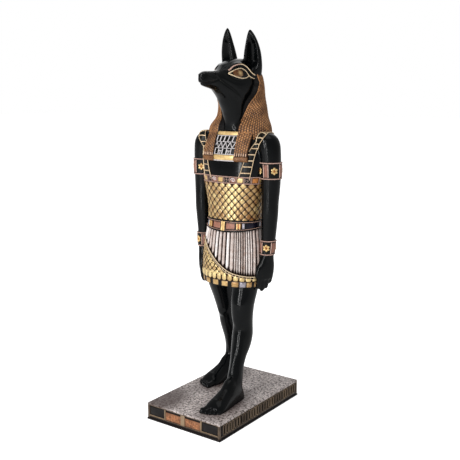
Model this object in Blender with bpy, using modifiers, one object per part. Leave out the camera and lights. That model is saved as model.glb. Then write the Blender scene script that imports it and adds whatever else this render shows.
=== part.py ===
"""A standing jackal-headed figure, cast in one piece, on its plinth.

The figure faces -Y and its left side is +X. The origin is the middle of the plinth's underside.
The plinth has its own sizes. The figure is set out in units of one 293rd of its own height,
measured up from its soles, so its pose and carving keep their proportions.
"""

import math

import bmesh
import bpy
from mathutils import Matrix, Vector

# Driving dimensions, in metres
total_height = 0.307
plinth_width = 0.0726
plinth_depth = 0.1126
plinth_height = 0.014
plinth_edge_round = 0.0006
plinth_lip_height = 0.0014
plinth_lip_reach = 0.0004
plinth_border = 0.0024
plinth_panel_sink = 0.0008
plinth_slot_pitch = 0.0037
plinth_slot_width = 0.0019
plinth_post_width = 0.0035
plinth_copper_width = 0.0152
plinth_divider_width = 0.004
plinth_thin_divider_width = 0.0014
sole_gap = 0.0003

# The figure's own scale
units_in_figure = 293.0
sole_level = plinth_height + sole_gap
unit = (total_height - sole_level) / units_in_figure

# Levels on the figure, in its units above the soles
hem_bottom = 90.6
hem_top = 95.6
belt_bottom = 135.5
belt_top = 143.5
band_bottom = 172.8
band_top = 178.4
collar_bottom = 190.5
collar_top = 213.0
wig_top = 262.0
lappet_bottom = 190.0
armlet_levels = (177.0, 190.0)
bracelet_levels = (117.0, 128.5)

# Counts and depths of the carving, in the figure's units
pleat_count = 36
pleat_depth = 0.8
strand_count = 30
strand_depth = 0.7
overlay_rise = 1.3
belt_rise = 1.2
trim_rise = 0.8
cuff_rise = 0.5
rim_rise = 1.1
rim_height = 1.6
rosette_radius = 2.75
rosette_depth = 1.7
armlet_rosettes = 5
armlet_turn = math.radians(51)
bracelet_rosettes = 3
bracelet_turn = math.radians(21)

# Body sections: level, half width, half depth, centre y, squareness
torso_sections = (
    (131.0, 21.5, 14.0, 13.0, 2.3),
    (143.0, 22.3, 14.4, 13.4, 2.3),
    (152.0, 22.6, 14.4, 13.8, 2.3),
    (164.0, 24.6, 15.0, 14.2, 2.4),
    (176.0, 27.0, 15.8, 14.5, 2.5),
    (186.0, 28.6, 16.0, 15.0, 2.5),
    (196.0, 29.6, 15.4, 15.7, 2.5),
    (204.0, 28.6, 13.5, 16.5, 2.4),
    (210.0, 24.0, 11.3, 17.2, 2.2),
    (215.0, 13.5, 10.8, 16.6, 2.0),
    (221.0, 9.9, 10.6, 15.6, 2.0),
    (228.0, 9.6, 11.2, 13.2, 2.0),
    (235.0, 9.8, 12.4, 9.4, 2.0),
    (242.0, 10.0, 13.0, 7.6, 2.0),
)
kilt_sections = (
    (hem_bottom, 25.2, 16.2, 11.2, 2.2),
    (97.0, 25.8, 16.6, 11.3, 2.2),
    (108.0, 25.8, 16.6, 11.5, 2.2),
    (124.0, 24.6, 15.8, 12.2, 2.2),
    (136.0, 23.0, 14.9, 12.9, 2.2),
    (belt_top, 22.2, 14.4, 13.4, 2.3),
)

# The upper edge of the kilt's scaled cloth, from the right hip to the left hem: x, level
overlay_edge = ((-32.0, 129.0), (-21.0, 125.5), (-12.0, 117.0), (-2.0, 108.5), (10.0, 102.0), (32.0, 98.0))

# Edges of the left shoulder strap, seen from the front: x, level
strap_inner = ((12.6, 170.0), (13.4, 178.0), (16.8, 187.0), (21.0, 199.0), (25.0, 207.0), (26.0, 215.0))
strap_outer = ((32.0, 215.0), (31.5, 207.0), (28.5, 199.0), (24.8, 187.0), (22.4, 178.0), (21.8, 170.0))
strap_top = 211.5

# The collar plate: level, y of its face at the middle
collar_rows = ((collar_bottom, -1.6), (194.5, -1.6), (204.0, 1.4), (collar_top, 4.6))
collar_half_width = 12.0
collar_crown = 0.012
collar_back = 14.0

# Limb sections: level, x, y, half width, half depth. The x of each is for the left side
left_leg_sections = (
    (6.0, 16.4, -9.8, 5.6, 7.6),
    (17.0, 16.0, -8.6, 6.1, 7.2),
    (25.0, 15.7, -6.2, 5.9, 6.3),
    (34.0, 15.3, -2.6, 6.5, 6.9),
    (41.0, 15.0, 1.0, 7.7, 8.3),
    (50.0, 14.7, 3.8, 8.3, 9.0),
    (58.0, 14.5, 4.7, 8.0, 8.4),
    (66.0, 14.3, 4.0, 8.7, 9.0),
    (76.0, 14.1, 4.9, 9.5, 9.8),
    (88.0, 13.6, 7.4, 10.9, 11.4),
    (98.0, 13.2, 9.0, 11.2, 12.0),
)
right_leg_sections = (
    (6.0, -17.1, 34.2, 5.6, 7.6),
    (17.0, -17.0, 34.0, 6.1, 7.0),
    (25.0, -16.7, 33.7, 5.9, 6.3),
    (34.0, -16.0, 32.2, 6.5, 6.9),
    (41.0, -15.6, 30.4, 7.5, 7.9),
    (50.0, -15.3, 27.6, 8.2, 8.8),
    (58.0, -15.0, 24.8, 7.9, 8.2),
    (66.0, -14.9, 22.2, 8.7, 8.9),
    (76.0, -14.9, 18.8, 9.5, 9.6),
    (88.0, -14.5, 14.4, 10.8, 11.0),
    (98.0, -13.2, 13.0, 11.2, 12.0),
)
arm_sections = (
    (112.0, 31.2, 13.2, 4.6, 5.2),
    (118.0, 31.4, 14.2, 5.0, 5.6),
    (129.0, 31.8, 14.8, 5.6, 5.9),
    (140.0, 32.3, 14.9, 6.2, 6.4),
    (150.0, 32.8, 14.9, 6.6, 6.9),
    (158.0, 33.0, 15.0, 6.6, 7.0),
    (168.0, 33.0, 15.6, 7.2, 7.5),
    (178.0, 32.8, 15.8, 7.8, 8.1),
    (188.0, 32.5, 15.8, 8.1, 8.5),
    (197.0, 31.6, 15.6, 8.8, 9.0),
    (204.0, 30.4, 15.5, 9.2, 9.2),
    (209.0, 28.6, 15.6, 8.5, 8.2),
    (212.0, 26.8, 15.8, 6.2, 6.0),
)

# Foot sections: reach forward of the heel, half width, height
foot_sections = (
    (0.0, 3.2, 7.0),
    (2.5, 5.8, 12.0),
    (8.0, 6.8, 18.0),
    (15.0, 7.1, 19.0),
    (22.0, 7.6, 14.5),
    (30.0, 8.6, 10.5),
    (37.0, 9.2, 7.6),
    (41.5, 8.8, 5.6),
)

# Hand sections, from the knuckles up: level, x, y, half width across the palm, half thickness
hand_sections = (
    (97.5, 30.8, 11.4, 6.8, 3.3),
    (102.5, 31.2, 11.6, 7.2, 3.7),
    (108.0, 31.5, 12.2, 6.9, 3.9),
    (114.0, 31.6, 13.2, 5.6, 4.2),
    (119.0, 31.5, 14.2, 4.9, 4.6),
)
thumb_sections = (
    (98.0, 27.6, 4.9, 0.9, 1.0),
    (101.0, 27.7, 5.3, 1.8, 2.0),
    (106.0, 28.2, 6.6, 1.9, 2.3),
    (114.0, 29.8, 10.6, 2.0, 2.4),
)

# Fingers: offset along the palm, and the tip's level
finger_tips = ((-5.0, 89.6), (-1.7, 87.5), (1.7, 88.2), (5.0, 91.0))
finger_half_width = 1.9
finger_half_depth = 2.8
palm_turn = math.radians(30)

# Feet: the heels' places, the toes' offsets across, reaches and radii, from the big toe out
left_heel = (16.4, -1.8)
right_heel = (-16.0, 42.0)
left_foot_turn = math.radians(2)
right_foot_turn = math.radians(-7)
toe_tips = ((-6.2, 46.8, 2.6), (-2.4, 46.4, 2.0), (0.8, 45.2, 1.9), (3.8, 43.6, 1.8), (6.5, 41.4, 1.8))
toe_length = 9.0
toe_height_share = 1.75

# Eyes and brows: x, y, level, half length, half height
eye_forms = (("eye", 9.2, 0.6, 257.4, 7.4, 3.2), ("brow", 7.4, 2.6, 263.6, 7.6, 1.3))
eye_rise = 1.7
eye_turn = math.radians(17)

# Head sections, front to back: y, half width, level of the underside, level of the top
head_sections = (
    (-31.6, 1.7, 252.0, 255.8),
    (-30.4, 3.3, 250.8, 257.6),
    (-27.0, 4.4, 248.7, 258.8),
    (-21.0, 4.7, 246.5, 259.0),
    (-15.0, 5.3, 244.8, 259.2),
    (-11.0, 6.4, 242.8, 260.6),
    (-8.0, 7.8, 240.4, 262.8),
    (-2.0, 10.0, 236.2, 265.6),
    (6.0, 12.4, 231.5, 267.9),
    (14.0, 13.6, 228.0, 269.0),
    (22.0, 13.8, 228.0, 269.0),
    (29.0, 12.0, 230.0, 266.5),
    (34.5, 7.0, 236.0, 261.0),
)

# The left ear's tip is a little lower than the right one's
left_ear_share = 0.95
ear_foot = 254.0

# Ear sections: level, x, y, half width, half depth
ear_sections = (
    (ear_foot, 10.0, 24.0, 6.4, 6.2),
    (262.0, 10.8, 22.6, 7.4, 5.8),
    (269.0, 11.1, 21.6, 7.5, 5.2),
    (276.0, 11.5, 20.6, 6.7, 4.4),
    (283.0, 11.6, 19.6, 5.0, 3.4),
    (288.0, 11.3, 18.9, 3.3, 2.4),
    (291.5, 10.9, 18.4, 1.6, 1.3),
    (units_in_figure, 10.7, 18.2, 0.5, 0.5),
)

# Wig sections: level, half width, half depth, centre y, half width of the opening at the front
wig_sections = (
    (203.0, 29.0, 18.5, 19.4, 9.4),
    (216.0, 25.2, 19.2, 19.6, 9.6),
    (224.0, 21.8, 18.4, 20.4, 12.5),
    (240.0, 19.6, 17.4, 22.0, 18.2),
    (248.0, 18.6, 16.6, 22.4, 18.5),
    (256.0, 16.6, 14.8, 22.8, 16.5),
    (wig_top, 13.0, 11.0, 23.0, 12.9),
)

# Falls of the wig over the chest and down the back: level, y of the face, x of the outer edge
lappet_rows = (
    (lappet_bottom, -1.6, 20.6),
    (lappet_bottom + 1.6, -2.9, 21.0),
    (196.0, -2.4, 21.0),
    (206.0, -0.6, 20.6),
    (213.0, 1.2, 19.0),
    (220.0, 4.6, 15.0),
)
lappet_inner = 9.0
lappet_crown = 0.006
tail_inner = -0.5
tail_crown = 0.012
fall_root = 16.0
tail_rows = (
    (182.0, 32.0, 17.0),
    (184.0, 33.6, 17.4),
    (194.0, 34.8, 18.0),
    (204.0, 37.2, 18.0),
    (211.0, 38.2, 18.0),
)
wig_core = 7.0
wig_core_y = 15.0


def spot(x, y, z):
    """A point of the figure, from its own units to metres."""
    return Vector((x * unit, y * unit, z * unit + sole_level))


def clear_scene():
    for item in list(bpy.data.objects):
        bpy.data.objects.remove(item, do_unlink=True)


def new_collection(name, hidden=False):
    collection = bpy.data.collections.new(name)
    bpy.context.scene.collection.children.link(collection)
    collection.hide_render = hidden
    return collection


def new_material(name, colour, roughness, metallic):
    material = bpy.data.materials.new(name)
    material.use_nodes = True
    shader = material.node_tree.nodes["Principled BSDF"]
    shader.inputs["Base Color"].default_value = (*colour, 1.0)
    shader.inputs["Roughness"].default_value = roughness
    shader.inputs["Metallic"].default_value = metallic
    return material


def place_mesh(name, shape, collection):
    """Makes an object of a bmesh, with its faces turned outwards."""
    bmesh.ops.recalc_face_normals(shape, faces=shape.faces)
    mesh = bpy.data.meshes.new(name)
    shape.to_mesh(mesh)
    shape.free()
    item = bpy.data.objects.new(name, mesh)
    collection.objects.link(item)
    if collection.hide_render:
        item.hide_render = True
        item.display_type = "WIRE"
    return item


def smooth_rows(sections, steps):
    """The sections with rows of a smooth curve put in between them."""
    rows = []
    for index in range(len(sections) - 1):
        before = sections[max(index - 1, 0)]
        start = sections[index]
        end = sections[index + 1]
        after = sections[min(index + 2, len(sections) - 1)]
        span = end[0] - start[0]
        for step in range(steps):
            share = step / steps
            row = []
            for p0, p1, p2, p3 in zip(before, start, end, after):
                slope_in = (p2 - p0) / (end[0] - before[0]) * span
                slope_out = (p3 - p1) / (after[0] - start[0]) * span
                row.append(
                    (2 * share**3 - 3 * share**2 + 1) * p1
                    + (share**3 - 2 * share**2 + share) * slope_in
                    + (3 * share**2 - 2 * share**3) * p2
                    + (share**3 - share**2) * slope_out
                )
            rows.append(tuple(row))
    rows.append(tuple(sections[-1]))
    return rows


def rows_between(sections, low, high, rise, steps):
    """Evenly spaced rows of a body from one level to another, standing proud of it."""
    fine = smooth_rows(sections, 6)
    found = []
    for step in range(steps + 1):
        z = low + (high - low) * step / steps
        for lower, upper in zip(fine, fine[1:]):
            if lower[0] <= z <= upper[0]:
                share = (z - lower[0]) / (upper[0] - lower[0])
                row = [a + (b - a) * share for a, b in zip(lower, upper)]
                found.append((z, row[1] + rise, row[2] + rise, *row[3:]))
                break
    return found


def squared(value, squareness):
    """A cosine or sine bent from a circle's towards a square's."""
    return math.copysign(abs(value) ** (2.0 / squareness), value)


def level_ring(row, segments, relief=0.0, centre_x=0.0):
    """A ring round the body at one level. A relief lifts every other point."""
    z, half_width, half_depth, centre_y, squareness = row
    points = []
    for index in range(segments):
        turn = 2 * math.pi * index / segments
        rise = relief * (0.5 if index % 2 else -0.5)
        x = centre_x + (half_width + rise) * squared(math.cos(turn), squareness)
        y = centre_y + (half_depth + rise) * squared(math.sin(turn), squareness)
        points.append(spot(x, y, z))
    return points


def loft(name, rings, collection):
    """A closed solid through rings of equally many points."""
    shape = bmesh.new()
    loops = [[shape.verts.new(point) for point in ring] for ring in rings]
    count = len(loops[0])
    for lower, upper in zip(loops, loops[1:]):
        for index in range(count):
            after = (index + 1) % count
            shape.faces.new((lower[index], lower[after], upper[after], upper[index]))
    shape.faces.new(loops[0])
    shape.faces.new(loops[-1])
    return place_mesh(name, shape, collection)


def limb(name, rows, segments, collection, side=1.0):
    """A loft round a line up the body. Its rows give x first, for the left side."""
    rings = []
    for z, x, y, half_width, half_depth in rows:
        rings.append(level_ring((z, half_width, half_depth, y, 2.0), segments, 0.0, side * x))
    return loft(name, rings, collection)


def band(name, sections, low, high, rise, segments, steps, collection):
    rows = rows_between(sections, low, high, rise, steps)
    return loft(name, [level_ring(row, segments) for row in rows], collection)


def join(item, operands, operation="UNION"):
    """Joins, cuts or crosses the item with one object or one collection."""
    modifier = item.modifiers.new(operation.lower(), "BOOLEAN")
    modifier.operation = operation
    modifier.solver = "EXACT"
    if isinstance(operands, bpy.types.Collection):
        modifier.operand_type = "COLLECTION"
        modifier.collection = operands
    else:
        modifier.object = operands


def front_mask(name, outline, collection):
    """A block of the outline drawn on the front, pushed through the whole figure."""
    shape = bmesh.new()
    face = shape.faces.new([shape.verts.new(spot(x, -30.0, z)) for x, z in outline])
    pushed = bmesh.ops.extrude_face_region(shape, geom=[face])
    moved = [part for part in pushed["geom"] if isinstance(part, bmesh.types.BMVert)]
    bmesh.ops.translate(shape, verts=moved, vec=(0.0, 80.0 * unit, 0.0))
    return place_mesh(name, shape, collection)


def make_kilt(parts, cutters):
    loft("kilt", [level_ring(row, pleat_count * 2, pleat_depth) for row in kilt_sections], parts)
    band("hem_band", kilt_sections, hem_bottom, hem_top, pleat_depth, 24, 1, parts)
    band("belt", kilt_sections, belt_bottom, belt_top, belt_rise, 24, 1, parts)
    # The scaled cloth hangs from the right hip, and its edge falls in a curve to the left hem
    overlay = band("overlay", kilt_sections, hem_top, belt_bottom, overlay_rise, 24, 3, parts)
    corner_x = overlay_edge[-1][0]
    lower = ((corner_x, hem_top - 4.0), (-corner_x, hem_top - 4.0))
    join(overlay, front_mask("overlay_mask", overlay_edge + lower, cutters), "INTERSECT")


def make_corset(parts, cutters):
    band("corset_band", torso_sections, band_bottom, band_top, trim_rise, 24, 1, parts)
    for side, name in ((1.0, "left"), (-1.0, "right")):
        strap = band(f"{name}_strap", torso_sections, band_bottom, strap_top, trim_rise, 24, 4, parts)
        outline = tuple((side * x, z) for x, z in strap_inner + strap_outer)
        join(strap, front_mask(f"{name}_strap_mask", outline, cutters), "INTERSECT")


def make_collar(parts):
    """The plate on the chest between the two front falls of the wig."""
    half = collar_half_width
    rings = []
    for z, front in collar_rows:
        ring = [spot(x, front + collar_crown * x * x, z) for x in (-half, -half / 2, 0.0, half / 2, half)]
        ring.append(spot(half, collar_back, z))
        ring.append(spot(-half, collar_back, z))
        rings.append(ring)
    loft("collar", rings, parts)


def make_cuff(side, name, levels, count, first_turn, parts):
    """A cuff with a rim at each end and rosettes spaced round it."""
    low, high = levels
    rows_of_arm = [(z, a, b, y, x) for z, x, y, a, b in arm_sections]

    def ring_of(z, rise):
        _, a, b, y, x = rows_between(rows_of_arm, z, z + 1.0, rise, 1)[0]
        return level_ring((z, a, b, y, 2.0), 12, 0.0, side * x)

    profile = (
        (low, rim_rise),
        (low + rim_height, rim_rise),
        (low + rim_height, cuff_rise),
        (high - rim_height, cuff_rise),
        (high - rim_height, rim_rise),
        (high, rim_rise),
    )
    loft(name, [ring_of(z, rise) for z, rise in profile], parts)
    z = (low + high) / 2
    _, a, b, y, x = rows_between(rows_of_arm, z, z + 1.0, cuff_rise, 1)[0]
    for index in range(count):
        turn = side * (first_turn + index * 2 * math.pi / count)
        out = Vector((math.sin(turn), -math.cos(turn), 0.0))
        shape = bmesh.new()
        bmesh.ops.create_cone(
            shape,
            cap_ends=True,
            segments=6,
            radius1=rosette_radius * unit,
            radius2=rosette_radius * 0.7 * unit,
            depth=rosette_depth * unit,
        )
        facing = out.to_track_quat("Z", "Y").to_matrix().to_4x4()
        middle = spot(side * x + out.x * a, y + out.y * b, z)
        bmesh.ops.transform(shape, matrix=Matrix.Translation(middle) @ facing, verts=shape.verts)
        place_mesh(f"{name}_rosette_{index + 1}", shape, parts)


def make_hand(side, name, parts):
    """A flat hand laid along the thigh, its thumb in front."""
    across = Vector((side * math.sin(palm_turn), math.cos(palm_turn), 0.0))
    through = Vector((side * math.cos(palm_turn), -math.sin(palm_turn), 0.0))

    def slab(label, rows, segments):
        rings = []
        for z, x, y, half_across, half_through in rows:
            ring = []
            for index in range(segments):
                turn = 2 * math.pi * index / segments
                place = Vector((side * x, y, z))
                place += across * (half_across * squared(math.cos(turn), 2.4))
                place += through * (half_through * squared(math.sin(turn), 2.4))
                ring.append(spot(*place))
            rings.append(ring)
        loft(f"{name}_{label}", rings, parts)

    slab("palm", hand_sections, 10)
    knuckle = hand_sections[0]
    for index, (offset, tip) in enumerate(finger_tips):
        x = knuckle[1] + math.sin(palm_turn) * offset
        y = knuckle[2] + math.cos(palm_turn) * offset
        rows = []
        for level, inward, size in ((knuckle[0] + 4.0, 0.0, 1.0), (tip + 3.0, 0.8, 0.93), (tip, 1.2, 0.42)):
            rows.append((level, x - inward, y, finger_half_width * size, finger_half_depth * size))
        slab(f"finger_{index + 1}", rows, 6)
    slab("thumb", thumb_sections, 6)


def make_foot(name, heel, turn, parts):
    """A bare foot: its sections stand across its length, on a flat sole."""
    outer = 1.0 if name == "left" else -1.0

    def arch(reach, across, half_width, height, count):
        ring = []
        for index in range(count):
            angle = math.pi * index / (count - 1)
            sideways = across + half_width * squared(math.cos(angle), 2.2)
            x = heel[0] + math.sin(turn) * reach + math.cos(turn) * sideways
            y = heel[1] - math.cos(turn) * reach + math.sin(turn) * sideways
            ring.append(spot(x, y, height * math.sin(angle)))
        return ring

    rings = [arch(reach, 0.0, half_width, height, 9) for reach, half_width, height in foot_sections]
    loft(f"{name}_foot", rings, parts)
    for index, (across, tip, radius) in enumerate(toe_tips):
        rings = []
        for back, size in ((toe_length, 0.9), (toe_length * 0.2, 1.0), (0.0, 0.4)):
            half_width = radius * size
            rings.append(arch(tip - back, outer * across, half_width, half_width * toe_height_share, 5))
        loft(f"{name}_toe_{index + 1}", rings, parts)


def make_head(parts):
    rings = []
    for y, half_width, low, high in head_sections:
        ring = []
        for index in range(16):
            turn = 2 * math.pi * index / 16
            across = half_width * squared(math.cos(turn), 2.3)
            up = (high - low) / 2 * squared(math.sin(turn), 2.2)
            ring.append(spot(across, y, (low + high) / 2 + up))
        rings.append(ring)
    loft("head", rings, parts)
    for side, name in ((1.0, "left"), (-1.0, "right")):
        for label, x, y, z, length, height in eye_forms:
            shape = bmesh.new()
            bmesh.ops.create_uvsphere(shape, u_segments=8, v_segments=6, radius=unit)
            scale = Matrix.Diagonal((eye_rise, length, height, 1.0))
            facing = Matrix.Rotation(-side * eye_turn, 4, "Z")
            shift = Matrix.Translation(spot(side * x, y, z))
            bmesh.ops.transform(shape, matrix=shift @ facing @ scale, verts=shape.verts)
            place_mesh(f"{name}_{label}", shape, parts)


def make_ear(side, name, parts, cutters):
    """A tall pointed ear, hollowed from the front."""
    share = left_ear_share if side > 0 else 1.0
    rows = [(ear_foot + (z - ear_foot) * share, *rest) for z, *rest in ear_sections]
    ear = limb(f"{name}_ear", rows, 10, parts, side)
    hollow_rows = []
    for z, x, y, half_width, half_depth in rows[2:6]:
        hollow_rows.append((z + 2.0, x, y - half_depth * 1.15, half_width * 0.66, half_depth * 1.25))
    hollow = limb(f"{name}_ear_hollow", hollow_rows, 8, cutters, side)
    join(ear, hollow, "DIFFERENCE")


def wig_ring(row):
    """A C of the wig: strands outside, and a plain edge at each side of the face."""
    z, half_width, half_depth, centre_y, opening = row
    segments = strand_count * 2
    start = math.asin(opening / half_width)
    points = []
    for index in range(segments + 1):
        turn = start + (2 * math.pi - 2 * start) * index / segments
        rise = strand_depth * (0.5 if index % 2 else -0.5)
        x = (half_width + rise) * math.sin(turn)
        y = centre_y - (half_depth + rise) * math.cos(turn)
        points.append(spot(x, y, z))
    for index in range(6):
        turn = (2 * math.pi - start) - (2 * math.pi - 2 * start) * index / 5
        points.append(spot(wig_core * math.sin(turn), wig_core_y - wig_core * math.cos(turn), z))
    return points


def strand_fall(name, rows, inner, side, facing, crown, count, parts):
    """A hanging fall of strands. Its face is at each row's y, and bends back with x."""
    rings = []
    for z, face_y, outer in rows:
        ring = []
        for index in range(count + 1):
            x = side * (inner + (outer - inner) * index / count)
            rise = strand_depth * (0.5 if index % 2 else -0.5)
            ring.append(spot(x, face_y + facing * (rise - crown * x * x), z))
        ring.append(spot(side * outer, fall_root, z))
        ring.append(spot(side * inner, fall_root, z))
        rings.append(ring)
    loft(name, rings, parts)


def make_wig(parts):
    loft("wig", [wig_ring(row) for row in wig_sections], parts)
    for side, name in ((1.0, "left"), (-1.0, "right")):
        strand_fall(f"{name}_lappet", lappet_rows, lappet_inner, side, -1.0, lappet_crown, 8, parts)
        strand_fall(f"{name}_tail", tail_rows, tail_inner, side, 1.0, tail_crown, 8, parts)


def make_figure(statue, parts, cutters):
    figure = loft("figure", [level_ring(row, 24) for row in torso_sections], statue)
    make_kilt(parts, cutters)
    make_corset(parts, cutters)
    make_collar(parts)
    limb("left_leg", left_leg_sections, 12, parts)
    limb("right_leg", right_leg_sections, 12, parts)
    make_foot("left", left_heel, left_foot_turn, parts)
    make_foot("right", right_heel, right_foot_turn, parts)
    for side, name in ((1.0, "left"), (-1.0, "right")):
        limb(f"{name}_arm", arm_sections, 10, parts, side)
        make_cuff(side, f"{name}_armlet", armlet_levels, armlet_rosettes, armlet_turn, parts)
        make_cuff(side, f"{name}_bracelet", bracelet_levels, bracelet_rosettes, bracelet_turn, parts)
        make_hand(side, name, parts)
        make_ear(side, name, parts, cutters)
    make_head(parts)
    make_wig(parts)
    join(figure, parts)
    figure.data.materials.append(new_material("black enamel", (0.012, 0.012, 0.014), 0.16, 0.0))
    return figure


def box(name, low, high, collection):
    shape = bmesh.new()
    bmesh.ops.create_cube(shape, size=1.0)
    bmesh.ops.scale(shape, vec=Vector(high) - Vector(low), verts=shape.verts)
    bmesh.ops.translate(shape, vec=(Vector(high) + Vector(low)) / 2, verts=shape.verts)
    return place_mesh(name, shape, collection)


def make_plinth(statue, cutters, sunk):
    half_width = plinth_width / 2
    half_depth = plinth_depth / 2
    block_width = half_width - plinth_lip_reach
    block_depth = half_depth - plinth_lip_reach
    block_corner = (block_width, block_depth, plinth_height)
    plinth = box("plinth", (-block_width, -block_depth, 0.0), block_corner, statue)
    lip_corner = (half_width, half_depth, plinth_lip_height)
    lip = box("plinth_lip", (-half_width, -half_depth, 0.0), lip_corner, cutters)
    join(plinth, lip)
    bevel = plinth.modifiers.new("worn edges", "BEVEL")
    bevel.width = plinth_edge_round
    bevel.segments = 1
    bevel.limit_method = "ANGLE"
    low = plinth_lip_height + plinth_border
    high = plinth_height - plinth_border

    def sink(name, across, side, start, end):
        """A shallow recess from start to end along a face of the plinth."""
        face = block_width if across else block_depth
        depth = sorted((side * (face - plinth_panel_sink), side * (face + 2 * plinth_lip_reach)))
        if across:
            box(name, (depth[0], start, low), (depth[1], end, high), sunk)
        else:
            box(name, (start, depth[0], low), (end, depth[1], high), sunk)

    slots = int((plinth_depth - 2 * plinth_post_width) / plinth_slot_pitch)
    dark_width = (
        plinth_width / 2
        - plinth_post_width
        - plinth_thin_divider_width
        - plinth_copper_width
        - plinth_divider_width / 2
    )
    for side, name in ((1.0, "left"), (-1.0, "right")):
        for index in range(slots):
            start = (index + 0.5 - slots / 2) * plinth_slot_pitch - plinth_slot_width / 2
            sink(f"{name}_slot_{index + 1}", True, side, start, start + plinth_slot_width)
    for side, name in ((1.0, "back"), (-1.0, "front")):
        for mirror, place in ((1.0, "left"), (-1.0, "right")):
            copper_start = plinth_divider_width / 2
            copper_end = copper_start + plinth_copper_width
            dark_start = copper_end + plinth_thin_divider_width
            copper = (copper_start, copper_end)
            dark = (dark_start, dark_start + dark_width)
            for label, span in (("copper", copper), ("dark", dark)):
                start, end = sorted((mirror * span[0], mirror * span[1]))
                sink(f"{name}_{place}_{label}_panel", False, side, start, end)
    join(plinth, sunk, "DIFFERENCE")
    plinth.data.materials.append(new_material("mottled bronze", (0.16, 0.11, 0.1), 0.5, 0.3))
    return plinth


def main():
    clear_scene()
    statue = new_collection("anubis_statue")
    parts = new_collection("figure_parts", hidden=True)
    cutters = new_collection("cutters", hidden=True)
    sunk = new_collection("plinth_recesses", hidden=True)
    for item in (make_figure(statue, parts, cutters), make_plinth(statue, cutters, sunk)):
        item.data.shade_smooth()
        item.data.set_sharp_from_angle(angle=math.radians(35))


main()
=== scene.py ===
import bisect
import functools
import math
import random

import bmesh
import bpy
from mathutils import Matrix, Vector, noise
from mathutils.bvhtree import BVHTree


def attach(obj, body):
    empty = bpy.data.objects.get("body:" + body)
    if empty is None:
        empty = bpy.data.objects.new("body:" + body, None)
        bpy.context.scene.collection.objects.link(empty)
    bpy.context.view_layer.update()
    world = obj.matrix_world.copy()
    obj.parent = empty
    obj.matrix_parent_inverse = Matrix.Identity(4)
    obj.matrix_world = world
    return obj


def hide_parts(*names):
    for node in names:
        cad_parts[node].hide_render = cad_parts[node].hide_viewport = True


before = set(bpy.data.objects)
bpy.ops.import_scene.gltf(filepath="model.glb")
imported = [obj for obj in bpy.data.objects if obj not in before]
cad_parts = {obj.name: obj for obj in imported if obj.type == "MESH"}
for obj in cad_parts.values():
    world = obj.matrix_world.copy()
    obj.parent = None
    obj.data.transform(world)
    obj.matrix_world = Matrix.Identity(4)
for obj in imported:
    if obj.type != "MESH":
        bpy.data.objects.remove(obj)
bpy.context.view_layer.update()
print("Frame loaded")

# The figure is set out in units of one 293rd of its height, measured up from its soles
statue = {"height": 0.307, "soleLevel": 0.0143, "unitsHigh": 293.0, "seed": 7}
unit = (statue["height"] - statue["soleLevel"]) / statue["unitsHigh"]
chance = random.Random(statue["seed"])


def spot(x, y, z):
    return Vector((x * unit, y * unit, statue["soleLevel"] + z * unit))


def flipped(place, side):
    return Vector((side * place.x, place.y, place.z))


def held(value, low=0.0, high=1.0):
    return min(max(value, low), high)


def bell(value):
    return math.exp(-value ** 2)


def tint(red, green, blue):  # a screen colour from 0 to 255, made linear
    return tuple((value / 255) ** 2.2 for value in (red, green, blue)) + (1.0,)


def show(name, data):
    thing = bpy.data.objects.new(name, data)
    bpy.context.scene.collection.objects.link(thing)
    return thing


# Finishes: effects that several materials share are node groups

def setInputs(tree, node, values):  # a socket is linked from, and anything else is set
    for label, value in values.items():
        if isinstance(value, bpy.types.NodeSocket):
            tree.links.new(value, node.inputs[label])
        else:
            node.inputs[label].default_value = value


def addNode(tree, kind, values, **settings):
    node = tree.nodes.new(kind)
    for name, value in settings.items():
        setattr(node, name, value)
    setInputs(tree, node, values)
    return node.outputs


def mixColours(tree, factor, first, second):  # a Mix node's inputs 6 and 7 and its output 2 are the colours
    return addNode(tree, "ShaderNodeMix", {0: factor, 6: first, 7: second}, data_type="RGBA")[2]


def ramp(tree, factor, stops):
    node = tree.nodes.new("ShaderNodeValToRGB")
    elements = node.color_ramp.elements
    while len(elements) < len(stops):
        elements.new(0.5)
    for element, (position, value) in zip(elements, stops):
        element.position = position
        element.color = (value, value, value, 1.0)
    setInputs(tree, node, {"Fac": factor})
    return node.outputs["Color"]


def addBump(tree, height, distance):
    return addNode(tree, "ShaderNodeBump", {"Height": height, "Strength": 0.6,
                                            "Distance": distance})["Normal"]


def useGroup(tree, group, values):
    return addNode(tree, "ShaderNodeGroup", values, node_tree=group)


def newMaterial(name):
    material = bpy.data.materials.new(name)
    material.use_nodes = True
    return material, material.node_tree, material.node_tree.nodes["Principled BSDF"]


def newGroup(name, inputs, outputs):
    group = bpy.data.node_groups.new(name, "ShaderNodeTree")
    for label, value in inputs.items():
        kind = "Vector" if value is None else "Color" if isinstance(value, tuple) else "Float"
        socket = group.interface.new_socket(name=label, in_out="INPUT", socket_type="NodeSocket" + kind)
        if value is not None:
            socket.default_value = value
    for label, kind in outputs.items():
        group.interface.new_socket(name=label, in_out="OUTPUT", socket_type="NodeSocket" + kind)
    return group, group.nodes.new("NodeGroupInput").outputs, group.nodes.new("NodeGroupOutput")


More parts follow.
